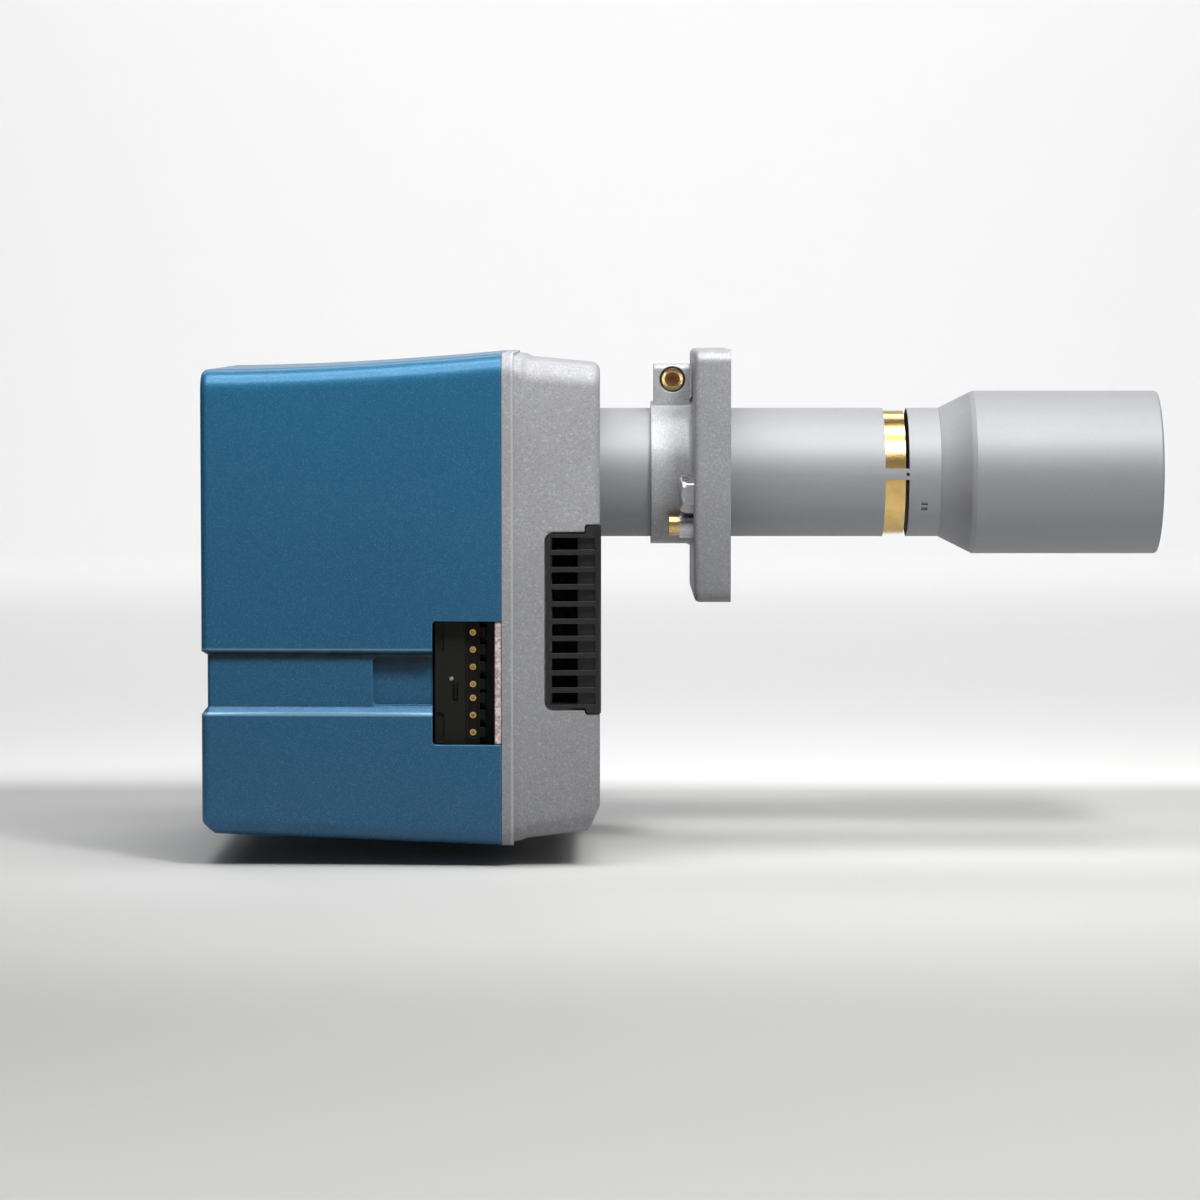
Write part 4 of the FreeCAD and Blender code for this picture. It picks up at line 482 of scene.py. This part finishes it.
clamp_zinc = Finish("clamp_screw_zinc", "yellow_zinc", Metallic=1.0)
off_x = clamp_zinc.along("X") - CLAMP_AXIS[0]
off_z = clamp_zinc.along("Z") - CLAMP_AXIS[1]
from_axis = (off_x * off_x + off_z * off_z) ** 0.5
angle = clamp_zinc.maths("ARCTAN2", off_z, off_x)
knurl = clamp_zinc.maths("SINE", angle * KNURL_TEETH)
rim = clamp_zinc.span(from_axis, *RIM_RADII)
cone = clamp_zinc.span(from_axis, *CONE_RADII)
film = clamp_zinc.noise(260.0, 4.0)
plated = clamp_zinc.mix(film, *ZINC_TONES)
cone_tone = clamp_zinc.mix(film, *CONE_TONES)
thread_lock = clamp_zinc.mix(film, *THREAD_LOCK_TONES)
clamp_zinc.feed("Base Color", clamp_zinc.mix(rim, clamp_zinc.mix(cone, thread_lock, cone_tone), plated))
clamp_zinc.feed("Metallic", clamp_zinc.span(cone, 0.0, 0.3, 0.2, 1.0))
clamp_zinc.feed("Roughness", clamp_zinc.span(film, 0.3, 0.7, 0.24, 0.38))
clamp_zinc.feed("Normal", clamp_zinc.bump(knurl * rim, KNURL_DEPTH, 0.8))
wear(clamp_zinc, ["clamp_screw"])
print("finished clamp_screw")

# %% [markdown]
# Moulded plastic shows a fine grain from its mould, slightly duller on the raised spots. The same recipe
# serves the black grille, the olive control, the painted motor, the pale capacitor and the ceramic, with its
# colour and grain changed. The sight glass is the one clear piece.

# %% Plastics, paint and ceramic
MOULD_EDGE = 0.35 * MM


def moulded(name, slot, base, rough, grain, depth, rubbed=None, **constants):
    """Plastic or paint: a noise grain, a slow drift in the colour, and edges rubbed to a paler tone."""
    plastic = Finish(name, slot, **constants)
    texture = plastic.noise(grain, 2.0)
    drift = plastic.noise(20.0, 3.0)
    lighter = tuple(min(1.0, 1.5 * c + 0.006) for c in base)
    shade = plastic.mix(drift * 0.5 + texture * 0.3, base, lighter)
    soft_edge = None
    if rubbed:
        soft_edge = plastic.rounded(MOULD_EDGE)
        shade = plastic.mix(plastic.edges(soft_edge) * plastic.span(drift, 0.3, 0.7, 0.5, 0.9), shade, rubbed)
    plastic.feed("Base Color", shade)
    plastic.feed("Roughness", plastic.span(texture, 0.3, 0.7, rough - 0.05, rough + 0.08))
    plastic.feed("Normal", plastic.bump(texture, depth, 0.5, soft_edge))
    return plastic


black_plastic = moulded("black_plastic", "black_plastic", (0.010, 0.010, 0.011), 0.46, 1400.0, 50 * MICRON,
                        (0.075, 0.075, 0.078), Specular_IOR_Level=0.35)
socket_plastic = moulded("socket_plastic", "black_plastic", (0.003, 0.003, 0.003), 0.55, 1400.0, 50 * MICRON,
                         (0.060, 0.058, 0.050), Specular_IOR_Level=0.12)
olive_plastic = moulded("olive_plastic", "olive_plastic", (0.0075, 0.0078, 0.0055), 0.50, 1200.0, 60 * MICRON,
                        (0.030, 0.030, 0.024), Specular_IOR_Level=0.15)
motor_paint = moulded("motor_paint", "motor_paint", (0.016, 0.017, 0.020), 0.35, 500.0, 50 * MICRON,
                      Coat_Weight=0.2)
capacitor_plastic = moulded("capacitor_plastic", "capacitor_white", (0.60, 0.60, 0.57), 0.38, 900.0,
                            30 * MICRON)
winding_red = moulded("winding_lacquer", "copper_red", (0.30, 0.10, 0.035), 0.30, 700.0, 60 * MICRON,
                      Metallic=0.5)
ceramic = moulded("glazed_ceramic", "ceramic_white", (0.74, 0.72, 0.68), 0.16, 300.0, 20 * MICRON,
                  Coat_Weight=0.4)
lamp_lens = moulded("lamp_lens", "lamp_pink", (0.30, 0.16, 0.15), 0.30, 400.0, 20 * MICRON, Coat_Weight=0.2)
glass = Finish("sight_glass", "sight_glass", Transmission_Weight=1.0, IOR=1.47, Roughness=0.03)
glass.feed("Base Color", glass.mix(glass.noise(80.0), (0.86, 0.92, 0.90), (0.92, 0.96, 0.95)))
wear(black_plastic, ["intake_grille", "damper_knob", "shaft_coupling", "valve_coil", "flame_sensor",
                     "control_base", "ignition_transformer"])
wear(socket_plastic, ["plug_socket", "reset_button"])
wear(olive_plastic, ["burner_control"])
wear(motor_paint, ["motor_can", "fan_grub_screw"])
wear(capacitor_plastic, ["motor_capacitor"])
wear(winding_red, ["motor_stator"])
wear(ceramic, ["electrode_insulators"])
wear(lamp_lens, ["status_lamp"])
wear(glass, ["sight_glass"])
print("finished plastics, paint and ceramic")

# %% [markdown]
# New surfaces are worked out with numpy. A shape is a grid of points, a function of two parameters, and one
# helper turns any such grid into a closed mesh. Rows run along the shape, columns run round it, and each
# end closes with a fan of triangles.

# %% Grids into meshes
def grid_piece(name, points, body, finish, smooth=True):
    """Mesh from an array (rows, columns, 3): columns close into a ring, and a fan closes each end."""
    rows, columns = points.shape[:2]
    index = np.arange(rows * columns).reshape(rows, columns)
    right = np.roll(index, -1, axis=1)
    faces = np.stack([index[:-1], right[:-1], right[1:], index[1:]], axis=-1).reshape(-1, 4).tolist()
    ends = np.stack([points[0].mean(axis=0), points[-1].mean(axis=0)])
    vertices = np.concatenate([points.reshape(-1, 3), ends])
    first, last = rows * columns, rows * columns + 1
    start = np.stack([np.full(columns, first), right[0], index[0]], axis=-1)
    finish_fan = np.stack([np.full(columns, last), index[-1], right[-1]], axis=-1)
    faces += start.tolist() + finish_fan.tolist()
    mesh = bpy.data.meshes.new(name)
    mesh.from_pydata(vertices.tolist(), [], faces)
    mesh.polygons.foreach_set("use_smooth", np.full(len(mesh.polygons), smooth))
    mesh.materials.append(finish.material)
    mesh.update()
    tidy = bmesh.new()
    tidy.from_mesh(mesh)
    bmesh.ops.recalc_face_normals(tidy, faces=tidy.faces)
    tidy.to_mesh(mesh)
    tidy.free()
    piece = bpy.data.objects.new(name, mesh)
    bpy.context.scene.collection.objects.link(piece)
    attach(piece, body)
    return piece


print("grid helper ready")

# %% [markdown]
# A strip of pale closed-cell foam seals the window beside the casting's rim. It is cut from sheet, so its
# long edges are a little rounded where it is squeezed, and its cut faces are pitted by opened cells. The
# outline is a superellipse, and small dimples are pressed into it by a product of two sines.

# %% Foam strip
SKIN_TONES = ((0.40, 0.325, 0.325), (0.76, 0.645, 0.635))
OPEN_CELL = (0.16, 0.13, 0.13)
CELL_SCALE = 1100.0
BLOTCH_SCALE = 420.0
CELL_DEPTH = 0.3 * MM
ROUNDING = 7.0
FOAM_COLUMNS = 72
FOAM_ROWS = 180
PIT = 0.07 * MM
END_SHARE = 0.015
END_SQUEEZE = 0.16

foam = Finish("foam", "foam", Specular_IOR_Level=0.2)
open_cells = foam.cells(CELL_SCALE)
blotch = foam.span(foam.noise(BLOTCH_SCALE, 3.0), 0.38, 0.62)
skin = foam.mix(blotch, *SKIN_TONES)
foam.feed("Base Color", foam.mix(foam.span(open_cells, 0.6, 1.0, 0.0, 0.7), skin, OPEN_CELL))
foam.feed("Roughness", foam.span(blotch, 0.0, 1.0, 0.80, 0.95))
foam.feed("Normal", foam.bump(open_cells * 0.6 + blotch * 0.4, CELL_DEPTH, 0.6))


def foam_surface(low, high):
    """Half width times a superellipse, drawn in at both ends, less a pit times a product of two sines."""
    turn = np.linspace(0, 2 * np.pi, FOAM_COLUMNS, endpoint=False)[None, :]
    rise = np.linspace(0, 1, FOAM_ROWS)[:, None]
    half = (high - low) / 2
    middle = (high + low) / 2
    reach = (np.abs(np.cos(turn)) ** ROUNDING + np.abs(np.sin(turn)) ** ROUNDING) ** (-1 / ROUNDING)
    end = 1 - END_SQUEEZE * np.maximum(0, np.abs(2 * rise - 1) - (1 - END_SHARE)) / END_SHARE
    pits = PIT * (np.sin(190 * rise + 5 * turn) * np.sin(17 * turn - 61 * rise) - 1)
    x = middle[0] + (half[0] * end + pits) * reach * np.cos(turn)
    y = middle[1] + (half[1] * end + pits) * reach * np.sin(turn)
    z = np.broadcast_to(low[2] + (high[2] - low[2]) * rise, x.shape)
    return np.stack([x, y, z], axis=-1)


foam_low, foam_high = (np.array(corner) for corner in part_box("foam_strip"))
strip = grid_piece("foam_seal", foam_surface(foam_low, foam_high), "burner", foam)
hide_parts("foam_strip")
print("foam strip:", len(strip.data.polygons), "faces")

# %% [markdown]
# The hex plug closes the test point on the flange. Seen end on, a hexagon's edge lies at its half width
# divided by the cosine of the angle from the nearest flat. Carrying that outline along the plug's axis and
# holding it inside a cone gives the turned crown that every bolt head has. One flat faces the camera, with
# a slanting one above it and another below.

# %% Hex plug
PLUG_LOW, PLUG_HIGH = (np.array(corner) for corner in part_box("flange_hex_plug"))
PLUG_FLATS = 24.0 * MM
PLUG_SHANK = 8.0 * MM
PLUG_HEAD_FRONT = -25.0 * MM
PLUG_COLUMNS = 192
PLUG_TURNED = 1.135
CROWN_STATIONS = [0.0, 0.04, 0.10, 0.16, 0.24, 0.5, 0.97, 1.0, 1.0, 1.0]
CROWN_LIMITS = [0.86, 0.93, 0.985, 1.03, 1.07, 1.2, 1.2, 1.17, 0.5, 0.5]


def hex_radius(turn):
    """Half the width over flats, divided by the cosine of the angle from the nearest flat's middle."""
    sector = np.pi / 3
    from_flat = np.mod(turn, sector) - sector / 2
    return PLUG_FLATS / 2 / np.cos(from_flat)


def plug_surface():
    """The hexagon held inside the crown's cone at each station, and a round shank behind the head."""
    turn = np.linspace(0, 2 * np.pi, PLUG_COLUMNS, endpoint=False)[None, :] + np.pi / 2
    outline = np.minimum(hex_radius(turn - np.pi / 2), PLUG_FLATS / 2 * PLUG_TURNED)
    limit = np.array(CROWN_LIMITS)[:, None] * PLUG_FLATS / 2
    x = PLUG_LOW[0] + (PLUG_HEAD_FRONT - PLUG_LOW[0]) * np.array(CROWN_STATIONS)[:, None]
    x[-2:] = np.array([[PLUG_HEAD_FRONT], [PLUG_HIGH[0]]])
    radius = np.minimum(outline, limit)
    radius[-2:] = PLUG_SHANK
    middle = (PLUG_LOW + PLUG_HIGH) / 2
    return np.stack([np.broadcast_to(x, radius.shape), middle[1] + radius * np.cos(turn),
                     middle[2] + radius * np.sin(turn)], axis=-1)


plug = grid_piece("hex_plug", plug_surface(), "flange", bright_steel, smooth=False)
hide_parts("flange_hex_plug")
print("hex plug:", len(plug.data.polygons), "faces")

# %% [markdown]
# Behind the grille, the intake pocket is lined with a near-black sheet of egg-crate foam: painted shade that
# makes the slots look black, as the dark inside of the intake does. Its face is the product of two sines
# across the sheet, so crests and hollows stand like the cups of an egg box, and it sinks to nothing at the
# edges where the sheet is glued down.

# %% Intake absorber
SHADE_SHEET_BLACK = (0.006, 0.006, 0.006)
ABSORBER_X = (-122.0 * MM, -96.5 * MM)
ABSORBER_Z = (-153.0 * MM, -38.0 * MM)
ABSORBER_BACK = -108.6 * MM
ABSORBER_BASE = 2.0 * MM
ABSORBER_CREST = 5.0 * MM
ABSORBER_SHEET = 0.2 * MM
CREST_PITCH = 11.0 * MM
ABSORBER_ROWS = 150
ABSORBER_COLUMNS = 48


def quilted_sheet(rows, columns):
    """Front face: back minus base minus crest times |sin| times |sin|, eased to nothing at the four edges."""
    u = np.linspace(0, 1, columns)[None, :]
    v = np.linspace(0, 1, rows)[:, None]
    x = ABSORBER_X[0] + (ABSORBER_X[1] - ABSORBER_X[0]) * u + 0 * v
    z = ABSORBER_Z[0] + (ABSORBER_Z[1] - ABSORBER_Z[0]) * v + 0 * u
    across = np.sin(np.pi * (x - ABSORBER_X[0]) / CREST_PITCH)
    upward = np.sin(np.pi * (z - ABSORBER_Z[0]) / CREST_PITCH)
    wave = np.abs(across * upward)
    edge = np.minimum(1, 12 * np.minimum(np.minimum(u, 1 - u), 3 * np.minimum(v, 1 - v)))
    y = ABSORBER_BACK - (ABSORBER_BASE + ABSORBER_CREST * wave) * edge
    return np.stack([x, y, z], axis=-1)


# Painted shade: the sheet's near-black colour stands in for the shade inside the intake.
shade_sheet_foam = moulded("shade_sheet_foam", "foam", SHADE_SHEET_BLACK, 0.95, 1600.0, CELL_DEPTH,
                        Specular_IOR_Level=0.1)
front = quilted_sheet(ABSORBER_ROWS, ABSORBER_COLUMNS)
back = front.copy()
back[..., 1] = ABSORBER_BACK + ABSORBER_SHEET
both = np.concatenate([front, back[:, ::-1]], axis=1)
absorber = grid_piece("intake_shade_sheet", both, "burner", shade_sheet_foam)
print("absorber:", len(absorber.data.polygons), "faces")

# %% [markdown]
# The picture's studio is a pale ground that turns lighter 0.4 m behind the tube. One sheet makes it: a
# floor whose tone changes at that line, and a wall at each end, both far enough away that the burner can be
# looked at from every side.

# %% Floor and walls
FLOOR_Z = -0.262
TONE_LINE = (0.35, 0.45)
NEAR_TONE = (0.53, 0.53, 0.525)
FAR_TONE = (0.84, 0.84, 0.84)
WALL_Y = 4.8
FRONT_WALL_Y = -7.0
WALL_TOP = 4.0
HALF_WIDTH = 9.0
BEND = 0.9

bend_turn = np.linspace(0, np.pi / 2, 25)
bend_y = np.concatenate([BEND * np.sin(bend_turn), np.full(6, BEND)])
bend_z = np.concatenate([BEND * (1 - np.cos(bend_turn)), np.linspace(BEND + 0.1, WALL_TOP, 6)])
sheet_y = np.concatenate([FRONT_WALL_Y + BEND - bend_y[::-1], WALL_Y - BEND + bend_y])
sheet_z = np.concatenate([bend_z[::-1], bend_z]) + FLOOR_Z
sheet_x = np.linspace(-HALF_WIDTH, HALF_WIDTH, 12)
rows, columns = len(sheet_y), len(sheet_x)
sheet_points = np.stack([np.broadcast_to(sheet_x[None, :], (rows, columns)),
                         np.broadcast_to(sheet_y[:, None], (rows, columns)),
                         np.broadcast_to(sheet_z[:, None], (rows, columns))], axis=-1)
index = np.arange(rows * columns).reshape(rows, columns)
corners = [index[:-1, :-1], index[:-1, 1:], index[1:, 1:], index[1:, :-1]]
quads = np.stack(corners, axis=-1).reshape(-1, 4)
floor_mesh = bpy.data.meshes.new("studio_sheet")
floor_mesh.from_pydata(sheet_points.reshape(-1, 3).tolist(), [], quads.tolist())
floor_mesh.polygons.foreach_set("use_smooth", np.ones(len(quads), dtype=bool))
ground = Finish("studio_sheet", None, Roughness=0.95, Specular_IOR_Level=0.1)
far_share = ground.within("Y", TONE_LINE)
plaster = ground.noise(3.0, 2.0) * 0.06
ground.feed("Base Color", ground.mix(far_share + plaster, NEAR_TONE, FAR_TONE))
floor_mesh.materials.append(ground.material)
floor = bpy.data.objects.new("studio_sheet", floor_mesh)
bpy.context.scene.collection.objects.link(floor)
print("studio sheet:", len(quads), "faces")

# %% [markdown]
# The main light stands high on the right in front: it darkens the upper wall of the cover's groove,
# brightens the lower one, and shades the underside of the tubes. Two long panels above draw the soft line
# along the tubes' tops, as ceiling lights would. The wide wash panels keep the ground even and light the
# burner's far side, and a weak fill from the left lifts the shadows.

# %% Lights
CENTRE = (-0.03, 0.0, -0.08)
WHITE = (1.0, 1.0, 1.0)
WARM = (1.0, 0.99, 0.97)
COOL = (0.96, 0.98, 1.0)
ROOM = (0.95, 0.96, 0.98, 1.0)
ROOM_STRENGTH = 0.02


def area_light(name, place, target, size, power, shade=WHITE, spread=180):
    """A rectangular soft light that looks at a target; spread is its beam in degrees."""
    data = bpy.data.lights.new(name, "AREA")
    data.shape = "RECTANGLE"
    data.size, data.size_y = size
    data.energy = power
    data.color = shade
    data.spread = math.radians(spread)
    lamp = bpy.data.objects.new(name, data)
    bpy.context.scene.collection.objects.link(lamp)
    lamp.location = place
    lamp.rotation_euler = (Vector(target) - Vector(place)).to_track_quat("-Z", "Y").to_euler()


area_light("key", (0.42, -0.98, 1.12), CENTRE, (0.26, 0.26), 14.5, WARM)
area_light("top", (-0.05, -0.50, 0.60), CENTRE, (1.3, 0.25), 2.4, spread=110)
area_light("overhead", (0.0, -0.15, 0.95), CENTRE, (1.4, 0.3), 4.6, spread=120)
area_light("floor_wash", (0.0, -1.75, 1.10), (0.0, -1.45, FLOOR_Z), (2.6, 0.3), 6.0, spread=70)
area_light("back_wash", (0.0, 1.5, 1.7), (0.0, 1.8, FLOOR_Z), (4.0, 1.0), 44.0)
area_light("wall_wash", (0.0, 3.2, 1.6), (0.0, WALL_Y, 0.0), (5.0, 0.6), 52.0)
area_light("front_wash", (0.0, -4.6, 2.6), (0.0, -5.6, FLOOR_Z), (6.0, 2.0), 90.0, spread=120)
area_light("fill", (-1.5, -2.2, 0.3), CENTRE, (1.2, 1.2), 0.9, COOL)
world = bpy.data.worlds.new("studio")
bpy.context.scene.world = world
world.use_nodes = True
background = world.node_tree.nodes["Background"]
background.inputs["Color"].default_value = ROOM
background.inputs["Strength"].default_value = ROOM_STRENGTH
bpy.context.scene.view_settings.view_transform = "Standard"
print("lights:", len(bpy.data.lights))
